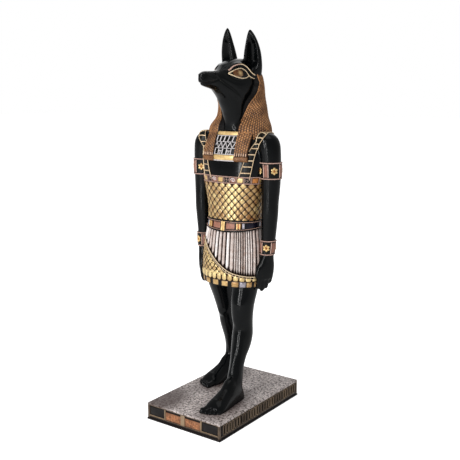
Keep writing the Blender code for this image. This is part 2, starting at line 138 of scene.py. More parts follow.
def makeBrushMottle():  # hand-brushed paint: two tones that drift into each other
    group, given, result = newGroup("brushMottle", {
        "Vector": None, "Light": (0.8, 0.8, 0.8, 1.0), "Dark": (0.3, 0.3, 0.3, 1.0), "Scale": 300.0,
        "Tone": 0.5,
    }, {"Color": "Color"})
    patchy = addNode(group, "ShaderNodeTexNoise", {
        "Vector": given["Vector"], "Scale": given["Scale"], "Detail": 5.0, "Roughness": 0.65,
    })
    spread = ramp(group, patchy["Fac"], ((0.32, 0.0), (0.68, 1.0)))
    shift = addNode(group, "ShaderNodeMath", {0: given["Tone"], 1: 0.7}, operation="MULTIPLY")[0]
    tone = addNode(group, "ShaderNodeMath", {0: spread, 1: 0.4, 2: shift}, operation="MULTIPLY_ADD",
                   use_clamp=True)[0]
    setInputs(group, result, {"Color": mixColours(group, tone, given["Dark"], given["Light"])})
    return group


def makeWashInHollows():  # dark glaze that settles low, and rubbed high places
    group, given, result = newGroup("washInHollows", {
        "Vector": None, "Color": (0.8, 0.8, 0.8, 1.0), "Wash": (0.05, 0.03, 0.02, 1.0), "Relief": 1.0,
        "Reach": 0.5,
    }, {"Color": "Color", "Mask": "Float"})
    ragged = addNode(group, "ShaderNodeTexNoise", {"Vector": given["Vector"], "Scale": 900.0,
                                                   "Detail": 3.0})["Fac"]
    uneven = addNode(group, "ShaderNodeMath", {0: ragged, 1: 0.5, 2: -0.25}, operation="MULTIPLY_ADD")[0]
    height = addNode(group, "ShaderNodeMath", {0: given["Relief"], 1: uneven}, operation="ADD")[0]
    clear = addNode(group, "ShaderNodeMapRange", {"Value": height, "From Min": 0.05,
                                                  "From Max": given["Reach"]},
                    interpolation_type="SMOOTHSTEP")[0]
    setInputs(group, result, {"Color": mixColours(group, clear, given["Wash"], given["Color"]),
                              "Mask": clear})
    return group


def makeFineGrain():  # the small unevenness of a cast and painted skin
    group, given, result = newGroup("fineGrain", {"Vector": None, "Scale": 500.0, "Low": 0.2, "High": 0.4},
                                    {"Roughness": "Float", "Height": "Float"})
    grain = addNode(group, "ShaderNodeTexNoise", {
        "Vector": given["Vector"], "Scale": given["Scale"], "Detail": 4.0,
    })["Fac"]
    level = addNode(group, "ShaderNodeMapRange", {
        "Value": grain, "From Min": 0.3, "From Max": 0.7, "To Min": given["Low"], "To Max": given["High"],
    })[0]
    setInputs(group, result, {"Roughness": level, "Height": grain})
    return group


brushMottle = makeBrushMottle()
washInHollows = makeWashInHollows()
fineGrain = makeFineGrain()


def castPaint(name, light, dark, wash, metallic=0.0, roughness=(0.3, 0.45), scale=350.0, reach=0.5, coat=0.0,
              bump=0.00004, shine=0.5):
    material, tree, shader = newMaterial(name)
    place = addNode(tree, "ShaderNodeTexCoord", {})["Object"]
    tone = addNode(tree, "ShaderNodeAttribute", {}, attribute_name="tone")["Fac"]
    relief = addNode(tree, "ShaderNodeAttribute", {}, attribute_name="relief")["Fac"]
    mottle = useGroup(tree, brushMottle, {
        "Vector": place, "Light": tint(*light), "Dark": tint(*dark), "Scale": scale, "Tone": tone,
    })["Color"]
    glazed = useGroup(tree, washInHollows, {
        "Vector": place, "Color": mottle, "Wash": tint(*wash), "Relief": relief, "Reach": reach,
    })
    grain = useGroup(tree, fineGrain, {
        "Vector": place, "Scale": scale * 2.2, "Low": roughness[0], "High": roughness[1],
    })
    if metallic:
        sheen = addNode(tree, "ShaderNodeMath", {0: glazed["Mask"], 1: metallic}, operation="MULTIPLY")[0]
        setInputs(tree, shader, {"Metallic": sheen})
    setInputs(tree, shader, {
        "Base Color": glazed["Color"], "Roughness": grain["Roughness"], "Coat Weight": coat,
        "Coat Roughness": 0.2,
        "Specular IOR Level": shine, "Normal": addBump(tree, grain["Height"], bump),
    })
    return material


brownWash = (46, 26, 14)
blackWash = (16, 13, 12)
blackEnamel = castPaint("black enamel", (15, 18, 19), (8, 9, 11), (8, 9, 11), 0.0, (0.13, 0.2), 120.0,
                        bump=0.000006, shine=0.17)
scaleGold = castPaint("scale gold", (255, 229, 162), (130, 74, 20), (48, 24, 7), 0.32, (0.22, 0.36), 190.0,
                      1.0)
scaleGround = castPaint("scale ground", (58, 34, 12), (28, 16, 6), brownWash, 0.0, (0.5, 0.7), shine=0.15)
strandBronze = castPaint("strand bronze", (206, 146, 92), (66, 32, 14), (30, 12, 5), 0.25, (0.34, 0.5),
                         300.0, 1.0)
strandTip = castPaint("strand tip", (226, 192, 164), (156, 108, 80), (50, 24, 14), 0.1, (0.35, 0.5), 400.0,
                      0.9)
pleatWhite = castPaint("pleat white", (255, 249, 246), (158, 128, 112), (66, 42, 32), 0.0, (0.35, 0.55),
                       280.0, 0.9)
kiltGround = castPaint("kilt ground", (42, 24, 17), (20, 12, 9), blackWash, 0.0, (0.5, 0.7), shine=0.15)
creamLine = castPaint("cream line", (248, 224, 186), (184, 146, 104), brownWash, 0.2, (0.3, 0.45), 420.0, 0.9)
whiteLine = castPaint("white line", (238, 234, 234), (168, 158, 160), (50, 42, 46), 0.1, (0.3, 0.45), 420.0,
                      0.9)
pinkLine = castPaint("pink line", (224, 186, 170), (140, 100, 88), brownWash, 0.1, (0.35, 0.5), 420.0, 0.9)
pinkPanel = castPaint("pink panel", (170, 116, 96), (84, 48, 35), brownWash, 0.1, (0.4, 0.55), 420.0, 0.9)
yellowPanel = castPaint("yellow panel", (246, 212, 146), (142, 94, 44), brownWash, 0.35, (0.28, 0.42),
                        420.0, 0.9)
orangePanel = castPaint("orange panel", (206, 132, 66), (112, 60, 26), brownWash, 0.3, (0.28, 0.42), 420.0,
                        0.9)
redPanel = castPaint("red panel", (112, 40, 26), (56, 18, 14), blackWash, 0.1, (0.3, 0.45), 420.0, 0.8)
silverPanel = castPaint("silver panel", (214, 212, 220), (120, 112, 122), (70, 60, 66), 0.3, (0.26, 0.4),
                        420.0, 0.8)
navyPanel = castPaint("navy panel", (30, 28, 44), (12, 12, 20), blackWash, 0.0, (0.18, 0.3), 420.0, 0.5,
                      shine=0.3)
blackPanel = castPaint("black panel", (20, 22, 20), (9, 10, 9), blackWash, 0.0, (0.25, 0.4), 420.0, 0.4,
                       shine=0.2)
irisGold = castPaint("iris gold", (255, 222, 156), (96, 54, 20), (20, 10, 6), 0.2, (0.12, 0.2), 60.0, 0.6,
                     0.3)
print("Finishes mixed")


# Ways of making shapes

def newShape():
    shape = bmesh.new()
    shape.verts.layers.float.new("relief")
    shape.verts.layers.float.new("tone")
    return shape


def mark(shape, verts, relief, tone):
    reliefLayer = shape.verts.layers.float["relief"]
    toneLayer = shape.verts.layers.float["tone"]
    for vert in verts:
        vert[reliefLayer] = relief
        vert[toneLayer] = tone


def vertsOf(parts):
    return [part for part in parts if isinstance(part, bmesh.types.BMVert)]


def sheetPlace(vert):  # where a vertex of a flat grid lies, from 0 to 1 both ways
    return (vert.co.x + 1) / 2, (vert.co.y + 1) / 2


def smooth(shape, verts, factor, passes=1):
    for _ in range(passes):
        bmesh.ops.smooth_vert(shape, verts=verts, factor=factor, use_axis_x=True, use_axis_y=True,
                              use_axis_z=True)


def finishPiece(name, shape, finishes, slot, sharp):
    bmesh.ops.recalc_face_normals(shape, faces=shape.faces)
    mesh = bpy.data.meshes.new(name)
    shape.to_mesh(mesh)
    shape.free()
    for finish in finishes:
        mesh.materials.append(finish)
    mesh.shade_smooth()
    mesh.set_sharp_from_angle(angle=math.radians(sharp))
    piece = show(name, mesh)
    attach(piece, "root")
    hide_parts(slot)
    triangles = sum(len(face.vertices) - 2 for face in mesh.polygons)
    print(name, triangles, "triangles")


def fuse(shape, voxel, passes):  # one skin over all the closed forms in the shape, softly smoothed
    bmesh.ops.recalc_face_normals(shape, faces=shape.faces)
    mesh = bpy.data.meshes.new("clay")
    shape.to_mesh(mesh)
    shape.free()
    clay = show("clay", mesh)
    remesh = clay.modifiers.new("one skin", "REMESH")
    remesh.mode = "VOXEL"
    remesh.voxel_size = voxel * unit
    bpy.context.view_layer.update()
    skin = bpy.data.meshes.new_from_object(clay.evaluated_get(bpy.context.evaluated_depsgraph_get()))
    bpy.data.objects.remove(clay, do_unlink=True)
    bpy.data.meshes.remove(mesh)
    fused = bmesh.new()
    fused.from_mesh(skin)
    bpy.data.meshes.remove(skin)
    for name in ("relief", "tone"):
        if name not in fused.verts.layers.float:
            fused.verts.layers.float.new(name)
    smooth(fused, fused.verts, 0.5, passes)
    mark(fused, fused.verts, 1.0, 0.5)
    return fused


def inUnits(place):
    return place.x / unit, place.y / unit, (place.z - statue["soleLevel"]) / unit


def soften(shape, passes, chosen):  # local smoothing, where chosen(x, y, level) is true
    smooth(shape, [vert for vert in shape.verts if chosen(*inUnits(vert.co))], 0.5, passes)


@functools.lru_cache(maxsize=60000)
def rowAt(rows, key):  # a smooth curve through the rows, read at one place
    index = 0
    while index < len(rows) - 2 and key > rows[index + 1][0]:
        index += 1
    before, start = rows[max(index - 1, 0)], rows[index]
    end, after = rows[index + 1], rows[min(index + 2, len(rows) - 1)]
    span = end[0] - start[0]
    share = held((key - start[0]) / span)
    row = []
    for p0, p1, p2, p3 in zip(before, start, end, after):
        slopeIn = (p2 - p0) / (end[0] - before[0]) * span
        slopeOut = (p3 - p1) / (after[0] - start[0]) * span
        row.append(
            (2 * share**3 - 3 * share**2 + 1) * p1
            + (share**3 - 2 * share**2 + share) * slopeIn
            + (3 * share**2 - 2 * share**3) * p2
            + (share**3 - share**2) * slopeOut
        )
    return row


def keyed(points):  # points numbered along their line, so that a smooth curve can be read through them
    return tuple((index, *point) for index, point in enumerate(points))


def bent(value, squareness):
    return math.copysign(abs(value) ** (2.0 / squareness), value)


def pour(shape, form, finish):  # each form is made alone and then joined to its piece, which is quick
    for face in form.faces:
        face.material_index = finish
    mesh = bpy.data.meshes.new("form")
    form.to_mesh(mesh)
    form.free()
    shape.from_mesh(mesh)
    bpy.data.meshes.remove(mesh)


def growRings(shape, rings, looped=False, finish=0, reliefs=(0.0,), tone=0.5):  # a skin over rings of points
    form = newShape()
    ring = bmesh.ops.create_circle(form, cap_ends=False, segments=len(rings[0]), radius=1.0)["verts"]
    for vert, place in zip(ring, rings[0]):
        vert.co = place
    firstEdges = list({edge for vert in ring for edge in vert.link_edges})
    edges = firstEdges
    made = list(ring)
    for places in rings[1:]:
        grown = bmesh.ops.extrude_edge_only(form, edges=edges)["geom"]
        fresh = set(vertsOf(grown))
        following = []
        for vert, place in zip(ring, places):
            upper = next(edge.other_vert(vert) for edge in vert.link_edges if edge.other_vert(vert) in fresh)
            upper.co = place
            following.append(upper)
        ring = following
        made += ring
        edges = [part for part in grown if isinstance(part, bmesh.types.BMEdge)]
        edges = [edge for edge in edges if fresh.issuperset(edge.verts)]
    if looped:
        bmesh.ops.bridge_loops(form, edges=firstEdges + edges)
    else:
        bmesh.ops.edgeloop_fill(form, edges=firstEdges)
        bmesh.ops.edgeloop_fill(form, edges=edges)
    reliefLayer = form.verts.layers.float["relief"]
    toneLayer = form.verts.layers.float["tone"]
    for index, vert in enumerate(made):
        vert[reliefLayer] = reliefs[index % len(reliefs)]
        vert[toneLayer] = tone
    pour(shape, form, finish)


def addPatch(shape, columns, rows, place, low, high, finish=0, tone=0.5, outlined=True):
    # a slab on a surface: place turns (u, v, rise) into a point, and high may swell over the patch
    form = newShape()
    sheet = bmesh.ops.create_grid(form, x_segments=columns, y_segments=rows, size=1.0)["verts"]
    lifted = vertsOf(bmesh.ops.extrude_face_region(form, geom=list(form.faces))["geom"])
    reliefLayer = form.verts.layers.float["relief"]
    toneLayer = form.verts.layers.float["tone"]
    for vert in sheet:
        vert.co = place(*sheetPlace(vert), low)
        vert[toneLayer] = 0.5 if callable(tone) else tone
    peak = 0.001
    for vert in lifted:
        u, v = sheetPlace(vert)
        rise = high(u, v) if callable(high) else high
        vert.co = place(u, v, rise)
        vert[toneLayer] = tone(vert.co) if callable(tone) else tone
        rim = 1.0 - max(abs(2 * u - 1), abs(2 * v - 1))
        vert[reliefLayer] = min(1.0, 0.1 + 4.0 * rim) if outlined else rise
        peak = max(peak, rise)
    if not outlined:
        for vert in lifted:
            vert[reliefLayer] = vert[reliefLayer] / peak
    pour(shape, form, finish)


def addTube(shape, path, normals, halfWidth, halfHeight, looped=False, finish=0, sides=8, tone=0.5,
            sink=0.25):
    # a line of paint or cord laid on a surface, its cross section standing along the normals
    rings = []
    count = len(path)
    turns = [2 * math.pi * step / sides for step in range(sides)]
    for index, (place, normal) in enumerate(zip(path, normals)):
        if looped:
            ahead, behind = path[(index + 1) % count], path[index - 1]
        else:
            ahead, behind = path[min(index + 1, count - 1)], path[max(index - 1, 0)]
        across = (ahead - behind).cross(normal).normalized()
        wide = halfWidth(index / (count - 1)) if callable(halfWidth) else halfWidth
        rings.append([
            place + across * (wide * unit * math.cos(turn))
            + normal * (halfHeight * unit * (math.sin(turn) + sink))
            for turn in turns
        ])
    growRings(shape, rings, looped, finish, [0.5 + 0.5 * math.sin(turn) for turn in turns], tone)


def addBall(shape, centre, size, turn=None, finish=0, detail=2, tone=0.5):
    form = newShape()
    made = bmesh.ops.create_icosphere(form, subdivisions=detail, radius=1.0)["verts"]
    matrix = Matrix.Diagonal((size[0] * unit, size[1] * unit, size[2] * unit, 1.0))
    if turn is not None:
        matrix = turn.to_4x4() @ matrix
    bmesh.ops.transform(form, matrix=Matrix.Translation(centre) @ matrix, verts=made)
    mark(form, form.verts, 0.9, tone)
    pour(shape, form, finish)


def addBlock(shape, low, high, edge, finish=0, tone=0.5):
    # a block between two corners, in metres, its edges eased
    form = newShape()
    made = bmesh.ops.create_cube(form, size=1.0)["verts"]
    low, high = Vector(low), Vector(high)
    bmesh.ops.scale(form, vec=high - low, verts=made)
    bmesh.ops.translate(form, vec=(low + high) / 2, verts=made)
    if edge:
        bmesh.ops.bevel(form, geom=list(form.edges), offset=edge, segments=2, profile=0.5, affect="EDGES",
                        material=-1, offset_type="OFFSET")
    mark(form, form.verts, 1.0, tone)
    pour(shape, form, finish)


# Surfaces that the ornament is laid on

ringTables = {}


def ringTable(rows, level):
    key = (id(rows), round(level * 20))
    if key not in ringTables:
        row = rowAt(rows, round(level * 20) / 20)
        marks, walked, last = [], 0.0, None
        for step in range(121):
            turn = math.pi * step / 120
            here = (row[1] * bent(math.sin(turn), row[4]), row[2] * bent(math.cos(turn), row[4]))
            if last:
                walked += math.hypot(here[0] - last[0], here[1] - last[1])
            marks.append((walked, turn))
            last = here
        ringTables[key] = (row, marks)
    return ringTables[key]


def bodyPlace(rows, level, share):  # share runs from -1 to 1 round the body, 0 at the front, as arc length
    row, marks = ringTable(rows, level)
    share = (share + 1.0) % 2.0 - 1.0
    target = abs(share) * marks[-1][0]
    index = held(bisect.bisect_left(marks, (target, 0.0)), 1, len(marks) - 1)
    low, high = marks[index - 1], marks[index]
    part = (target - low[0]) / max(high[0] - low[0], 1e-9)
    turn = low[1] + (high[1] - low[1]) * part
    side = 1.0 if share >= 0 else -1.0
    sine, cosine, square = math.sin(turn), math.cos(turn), row[4]
    power = 2.0 * (square - 1.0) / square
    normal = Vector((
        side * abs(sine) ** power / row[1],
        -math.copysign(abs(cosine) ** power, cosine) / row[2],
        0.0,
    )).normalized()
    x = row[5] + side * row[1] * bent(sine, square)
    y = row[3] - row[2] * bent(cosine, square)
    return Vector((x, y, level)), normal


def bodySpot(rows, level, share, rise=0.0):
    place, normal = bodyPlace(rows, level, share)
    place += normal * rise
    return spot(*place)


def halfRound(rows, level):  # half the distance round the body at a level
    return ringTable(rows, level)[1][-1][0]


def withMiddle(rows):
    return tuple((*row, 0.0) for row in rows)


def limbRows(rows):  # level, x, y, half width, half depth, put in the order that the bodies use
    return tuple((z, a, b, y, 2.0, x) for z, x, y, a, b in rows)


def levelRings(rows, low, high, steps, segments, grow=0.0, side=1.0):
    rings = []
    for step in range(steps + 1):
        level = low + (high - low) * step / steps
        _, a, b, y, square, x = rowAt(rows, level)
        ring = []
        for index in range(segments):
            turn = 2 * math.pi * index / segments
            place = spot(x + (a + grow) * bent(math.cos(turn), square),
                         y + (b + grow) * bent(math.sin(turn), square), level)
            ring.append(flipped(place, side))
        rings.append(ring)
    return rings


def bodyLine(rows, points, rise, side=1.0):  # a line through (level, share) points, and its normals
    path, normals = [], []
    for level, share in points:
        place, normal = bodyPlace(rows, level, share)
        path.append(flipped(spot(*(place + normal * rise)), side))
        normals.append(flipped(normal, side))
    return path, normals


def ringPath(rows, levelOf, rise, count=120, side=1.0):  # a closed line round the body
    shares = [-1.0 + 2.0 * index / count for index in range(count)]
    return bodyLine(rows, [(levelOf(share) if callable(levelOf) else levelOf, share) for share in shares],
                    rise, side)


def upright(rows, low, high, share, rise, steps, side=1.0):  # a line that stands on the body
    return bodyLine(rows, [(low + (high - low) * step / steps, share) for step in range(steps + 1)], rise,
                    side)


def roundedOff(u, v):  # a square patch drawn into a disc
    a, b = 2 * u - 1, 2 * v - 1
    return a * math.sqrt(1 - b * b / 2), b * math.sqrt(1 - a * a / 2)


def swollen(rise, edge=0.45):  # a patch that is highest in the middle
    return lambda u, v: rise * (1.0 - edge * max(abs(2 * u - 1), abs(2 * v - 1)) ** 3)


# Torso, arms and hands: one black skin

torso = {
    "sections": withMiddle((  # level, half width, half depth, middle y, squareness
        (131.0, 21.5, 14.0, 13.0, 2.3),
        (143.0, 22.3, 14.4, 13.4, 2.3),
        (152.0, 22.6, 14.4, 13.8, 2.3),
        (164.0, 24.6, 15.0, 14.2, 2.4),
        (176.0, 27.0, 15.8, 14.5, 2.5),
        (186.0, 28.6, 16.0, 15.0, 2.5),
        (196.0, 29.6, 15.4, 15.7, 2.5),
        (204.0, 28.6, 13.5, 16.5, 2.4),
        (210.0, 24.0, 11.3, 17.2, 2.2),
        (215.0, 13.5, 10.8, 16.6, 2.0),
        (221.0, 9.9, 10.6, 15.6, 2.0),
        (228.0, 9.6, 11.2, 13.2, 2.0),
        (235.0, 9.8, 12.4, 9.4, 2.0),
        (242.0, 10.0, 13.0, 7.6, 2.0),
    )),
    "neckTop": 219.0,
    "voxel": 0.66,
}
arms = {
    "sections": limbRows((  # level, x, y, half width, half depth
        (112.0, 31.2, 13.2, 4.6, 5.2),
        (118.0, 31.4, 14.2, 5.0, 5.6),
        (129.0, 31.8, 14.8, 5.6, 5.9),
        (140.0, 32.3, 14.9, 6.2, 6.4),
        (150.0, 32.8, 14.9, 6.6, 6.9),
        (158.0, 33.0, 15.0, 6.6, 7.0),
        (168.0, 33.0, 15.6, 7.2, 7.5),
        (178.0, 32.8, 15.8, 7.8, 8.1),
        (188.0, 32.5, 15.8, 8.1, 8.5),
        (197.0, 31.6, 15.6, 8.8, 9.0),
        (204.0, 30.4, 15.5, 9.2, 9.2),
        (209.0, 28.6, 15.6, 8.5, 8.2),
        (212.0, 26.8, 15.8, 6.2, 6.0),
    )),
    "elbow": (33.4, 19.6, 152.0, 3.4, 2.6, 5.0),
    "palm": (  # level, x, y, half width across the palm, half thickness
        (97.5, 30.8, 11.4, 6.8, 3.3),
        (102.5, 31.2, 11.6, 7.2, 3.7),
        (108.0, 31.5, 12.2, 6.9, 3.9),
        (114.0, 31.6, 13.2, 5.6, 4.2),
        (119.0, 31.5, 14.2, 4.9, 4.6),
    ),
    "thumb": (
        (98.0, 27.6, 4.9, 0.9, 1.0),
        (101.0, 27.7, 5.3, 1.8, 2.0),
        (106.0, 28.2, 6.6, 1.9, 2.3),
        (114.0, 29.8, 10.6, 2.0, 2.4),
    ),
    "fingers": ((-5.0, 89.2), (-1.7, 87.0), (1.7, 89.0), (5.0, 93.0)),  # offset along the palm, tip level
    "palmTurn": math.radians(30),
}


def addSlab(shape, rows, steps, side):  # a finger, thumb or palm, turned as the hand is
    turn = arms["palmTurn"]
    across = Vector((math.sin(turn), math.cos(turn), 0.0))
    through = Vector((math.cos(turn), -math.sin(turn), 0.0))
    rings = []
    for step in range(steps + 1):
        z, x, y, wide, thick = rowAt(rows, rows[0][0] + (rows[-1][0] - rows[0][0]) * step / steps)
        ring = []
        for index in range(18):
            angle = 2 * math.pi * index / 18
            place = Vector((x, y, z)) + across * (wide * bent(math.cos(angle), 2.3))
            place += through * (thick * bent(math.sin(angle), 2.3))
            ring.append(flipped(spot(*place), side))
        rings.append(ring)
    growRings(shape, rings)


def makeBlackTorso():
    shape = newShape()
    growRings(shape, levelRings(torso["sections"], 131.0, torso["neckTop"], 60, 64))
    knuckleLevel, knuckleX, knuckleY = arms["palm"][0][:3]
    for side in (1.0, -1.0):
        growRings(shape, levelRings(arms["sections"], 112.0, 212.0, 60, 40, side=side))
        x, y, z, *size = arms["elbow"]
        addBall(shape, spot(side * x, y, z), size, detail=3)
        addSlab(shape, arms["palm"], 16, side)
        addSlab(shape, arms["thumb"], 12, side)
        for offset, tip in arms["fingers"]:
            x = knuckleX + math.sin(arms["palmTurn"]) * offset
            y = knuckleY + math.cos(arms["palmTurn"]) * offset
            rows = (
                (tip, x - 1.2, y, 0.9, 1.0),
                (tip + 0.9, x - 1.1, y, 1.6, 1.9),
                (tip + 3.0, x - 0.8, y, 1.85, 2.4),
                (knuckleLevel + 4.0, x, y, 1.9, 2.9),
            )
            addSlab(shape, rows, 14, side)
    return fuse(shape, torso["voxel"], 4)


torsoSkin = makeBlackTorso()
torsoTree = BVHTree.FromBMesh(torsoSkin)
finishPiece("blackTorso", torsoSkin, [blackEnamel], "figure", 70.0)


# Legs and feet

legs = {
    "left": limbRows((
        (6.0, 16.4, -9.8, 5.6, 7.6),
        (17.0, 16.0, -8.6, 6.1, 7.2),
        (25.0, 15.7, -6.2, 5.9, 6.3),
        (34.0, 15.3, -2.6, 6.5, 6.9),
        (41.0, 15.0, 1.0, 7.7, 8.3),
        (50.0, 14.7, 3.8, 8.3, 9.0),
        (58.0, 14.5, 4.7, 8.0, 8.4),
        (66.0, 14.3, 4.0, 8.7, 9.0),
        (76.0, 14.1, 4.9, 9.5, 9.8),
        (88.0, 13.6, 8.3, 10.9, 10.5),
        (98.0, 13.2, 10.0, 11.2, 11.0),
    )),
    "right": limbRows((
        (6.0, -17.1, 34.2, 5.6, 7.6),
        (17.0, -17.0, 34.0, 6.1, 7.0),
        (25.0, -16.7, 33.7, 5.9, 6.3),
        (34.0, -16.0, 32.2, 6.5, 6.9),
        (41.0, -15.6, 30.4, 7.5, 7.9),
        (50.0, -15.3, 27.6, 8.2, 8.8),
        (58.0, -15.0, 24.8, 7.9, 8.2),
        (66.0, -14.9, 22.2, 8.7, 8.9),
        (76.0, -14.9, 18.8, 9.5, 9.6),
        (88.0, -14.5, 14.4, 10.8, 11.0),
        (98.0, -13.2, 13.0, 11.2, 12.0),
    )),
    "kneeLevel": 63.0,
    "kneeSize": (5.0, 2.6, 6.0),
    "kneeSink": 2.0,
    "instep": (16.5, 14.0, 4.6, 8.5, 5.0),
    "shinLevel": 34.0,
    "shinSize": (2.4, 2.2, 18.0),
    "shinSink": 1.75,
    "ankleLevel": 16.5,
    "ankleSize": (2.4, 2.4, 2.4),
    "ankleSink": 1.6,
    "voxel": 0.52,
}
feet = {
    "sections": (  # reach forward of the heel, half width, height
        (0.0, 3.2, 7.0),
        (2.5, 5.8, 12.0),
        (8.0, 6.8, 18.0),
        (15.0, 7.1, 19.0),
        (22.0, 7.6, 14.5),
        (30.0, 8.5, 10.5),
        (35.0, 8.8, 8.2),
        (38.0, 8.3, 6.2),
        (40.0, 7.0, 4.2),
    ),
    "left": (16.4, -1.8, math.radians(2), 1.0),  # heel x and y, the foot's turn, the way its outer side faces
    "right": (-16.0, 42.0, math.radians(-7), -1.0),
    "toes": (  # offset across the foot, reach of the tip, radius, height where it leaves the foot
        (-5.9, 46.8, 2.3, 4.4), (-2.1, 46.4, 1.7, 5.6), (1.25, 45.2, 1.55, 5.4), (4.3, 43.6, 1.45, 4.8),
        (7.0, 41.4, 1.4, 4.0),
    ),
    "toeLength": 12.0,
    "soleDrop": 0.4,
}


def footPlace(foot, reach, sideways, height):
    x, y, turn, _ = feet[foot]
    return spot(x + math.sin(turn) * reach + math.cos(turn) * sideways,
                y - math.cos(turn) * reach + math.sin(turn) * sideways, height)


def archRing(foot, reach, middle, halfWidth, height, count):
    ring = []
    for index in range(count):
        angle = math.pi * index / (count - 1)
        ring.append(footPlace(foot, reach, middle + halfWidth * bent(math.cos(angle), 2.2),
                              height * math.sin(angle) - feet["soleDrop"]))
    return ring


def addToe(shape, foot, across, tip, radius, knuckle):
    rings = []
    pad = radius * 1.75
    for step in range(21):
        share = step / 20
        reach = tip - feet["toeLength"] * (1.0 - share)
        swell = math.sqrt(max(1.0 - (max(share - 0.84, 0.0) / 0.163) ** 2, 0.03))
        waist = 1.0 - 0.12 * math.sin(math.pi * min(share / 0.8, 1.0))
        tall = pad + (knuckle - pad) * (1.0 - share) ** 1.5 + 0.2 * math.sin(2 * math.pi * share)
        sideways = feet[foot][3] * across * (0.9 + 0.1 * share)
        rings.append(archRing(foot, reach, sideways, radius * swell * waist, tall * swell, 15))
    growRings(shape, rings)


def makeLegs():
    shape = newShape()
    for foot in ("left", "right"):
        rows = legs[foot]
        growRings(shape, levelRings(rows, 6.0, 98.0, 60, 40))
        level = legs["kneeLevel"]
        _, a, b, y, _, x = rowAt(rows, level)
        addBall(shape, spot(x, y - b + legs["kneeSink"], level), legs["kneeSize"], detail=3)
        level = legs["shinLevel"]
        _, a, b, y, _, x = rowAt(rows, level)
        lean = math.atan2(rowAt(rows, level + 12.0)[3] - rowAt(rows, level - 12.0)[3], 24.0)
        addBall(shape, spot(x, y - b + legs["shinSink"], level), legs["shinSize"],
                Matrix.Rotation(-lean, 3, "X"), detail=3)
        level = legs["ankleLevel"]
        _, a, b, y, _, x = rowAt(rows, level)
        for way in (1.0, -1.0):
            addBall(shape, spot(x + way * (a - legs["ankleSink"]), y + 0.6, level - 1.0 * way),
                    legs["ankleSize"])
        reach, level, *size = legs["instep"]
        turn = Matrix.Rotation(feet[foot][2], 3, "Z") @ Matrix.Rotation(math.radians(38), 3, "X")
        addBall(shape, footPlace(foot, reach, 0.0, level), size, turn, detail=3)
        rings = []
        for step in range(41):
            reach, wide, high = rowAt(feet["sections"], 40.0 * step / 40)
            rings.append(archRing(foot, reach, 0.0, wide, high, 25))
        growRings(shape, rings)
        for toe in feet["toes"]:
            addToe(shape, foot, *toe)
    skin = fuse(shape, legs["voxel"], 3)

    def instepOrShin(x, y, level):
        front = y > -36.0 if x > 0 else y > 8.0
        return (8.0 < level < 27.0 and front) or 27.0 <= level < 76.0

    soften(skin, 44, instepOrShin)
    finishPiece("blackLegs", skin, [blackEnamel], "figure", 70.0)


def makeToeNails():
    shape = newShape()
    for foot in ("left", "right"):
        turn = Matrix.Rotation(feet[foot][2], 3, "Z") @ Matrix.Rotation(math.radians(24), 3, "X")
        for across, tip, radius, _ in feet["toes"]:
            centre = footPlace(foot, tip - 2.0, feet[foot][3] * across, radius * 1.42)
            addBall(shape, centre, (radius * 0.62, 1.3, 0.34), turn)
    finishPiece("toeNails", shape, [blackEnamel], "figure", 70.0)


makeLegs()
makeToeNails()


# Head and ears

head = {
    "sections": (  # y, half width, level of the underside, level of the top
        (-31.6, 2.2, 249.6, 254.0),
        (-30.6, 3.6, 248.2, 256.4),
        (-29.0, 4.2, 247.4, 257.8),
        (-26.0, 4.6, 246.8, 258.8),
        (-21.0, 4.9, 245.8, 259.0),
        (-15.0, 5.4, 244.5, 259.2),
        (-11.0, 6.4, 242.8, 259.6),
        (-8.0, 7.7, 240.4, 260.8),
        (-5.0, 8.9, 238.4, 262.6),
        (-2.0, 10.0, 236.2, 264.8),
        (6.0, 12.4, 231.5, 267.9),
        (14.0, 13.6, 228.0, 269.0),
        (22.0, 13.8, 228.0, 269.0),
        (29.0, 12.0, 230.0, 266.5),
        (34.5, 7.0, 236.0, 261.0),
    ),
    "from": -31.6,
    "length": 66.1,
    "nose": ((0.0, -29.9, 253.9, 3.5, 2.5, 3.2), (2.5, -30.2, 252.2, 1.6, 1.6, 1.3),
             (-2.5, -30.2, 252.2, 1.6, 1.6, 1.3), (2.9, -26.8, 252.0, 1.5, 1.6, 1.2),
             (-2.9, -26.8, 252.0, 1.5, 1.6, 1.2)),
    "nostrils": ((2.3, -31.4, 253.8, 1.0), (-2.3, -31.4, 253.8, 1.0)),
    # lines on the side of the head: y and level of each point
    "mouth": ((-31.5, 250.0), (-28.0, 249.8), (-23.0, 250.6), (-18.0, 251.9), (-14.5, 253.2)),
    "crease": ((-16.6, 257.0), (-11.9, 252.6), (-6.8, 249.3), (-1.4, 246.3), (4.5, 242.2), (8.8, 238.6)),
    "brow": ((-3.8, 259.6), (-0.6, 262.2), (3.4, 264.0), (8.5, 264.4), (12.5, 262.8), (15.4, 260.0),
             (17.7, 257.6), (19.4, 256.4)),
    "lidUpper": ((-4.9, 257.2), (-2.5, 258.6), (2.4, 260.4), (6.8, 261.1), (10.4, 259.8), (12.6, 257.7),
                 (14.8, 255.6)),
    "lidLower": ((-4.9, 257.2), (-2.4, 256.0), (1.3, 254.7), (6.1, 253.9), (11.1, 254.4), (14.6, 255.7)),
    "ridges": (("brow", 1.6, 1.9), ("lidUpper", 0.9, 0.6), ("lidLower", 0.9, 0.6)),  # half width, height
    "socket": (4.5, 257.5, 10.5, 5.6),
    "voxel": 0.46,
}
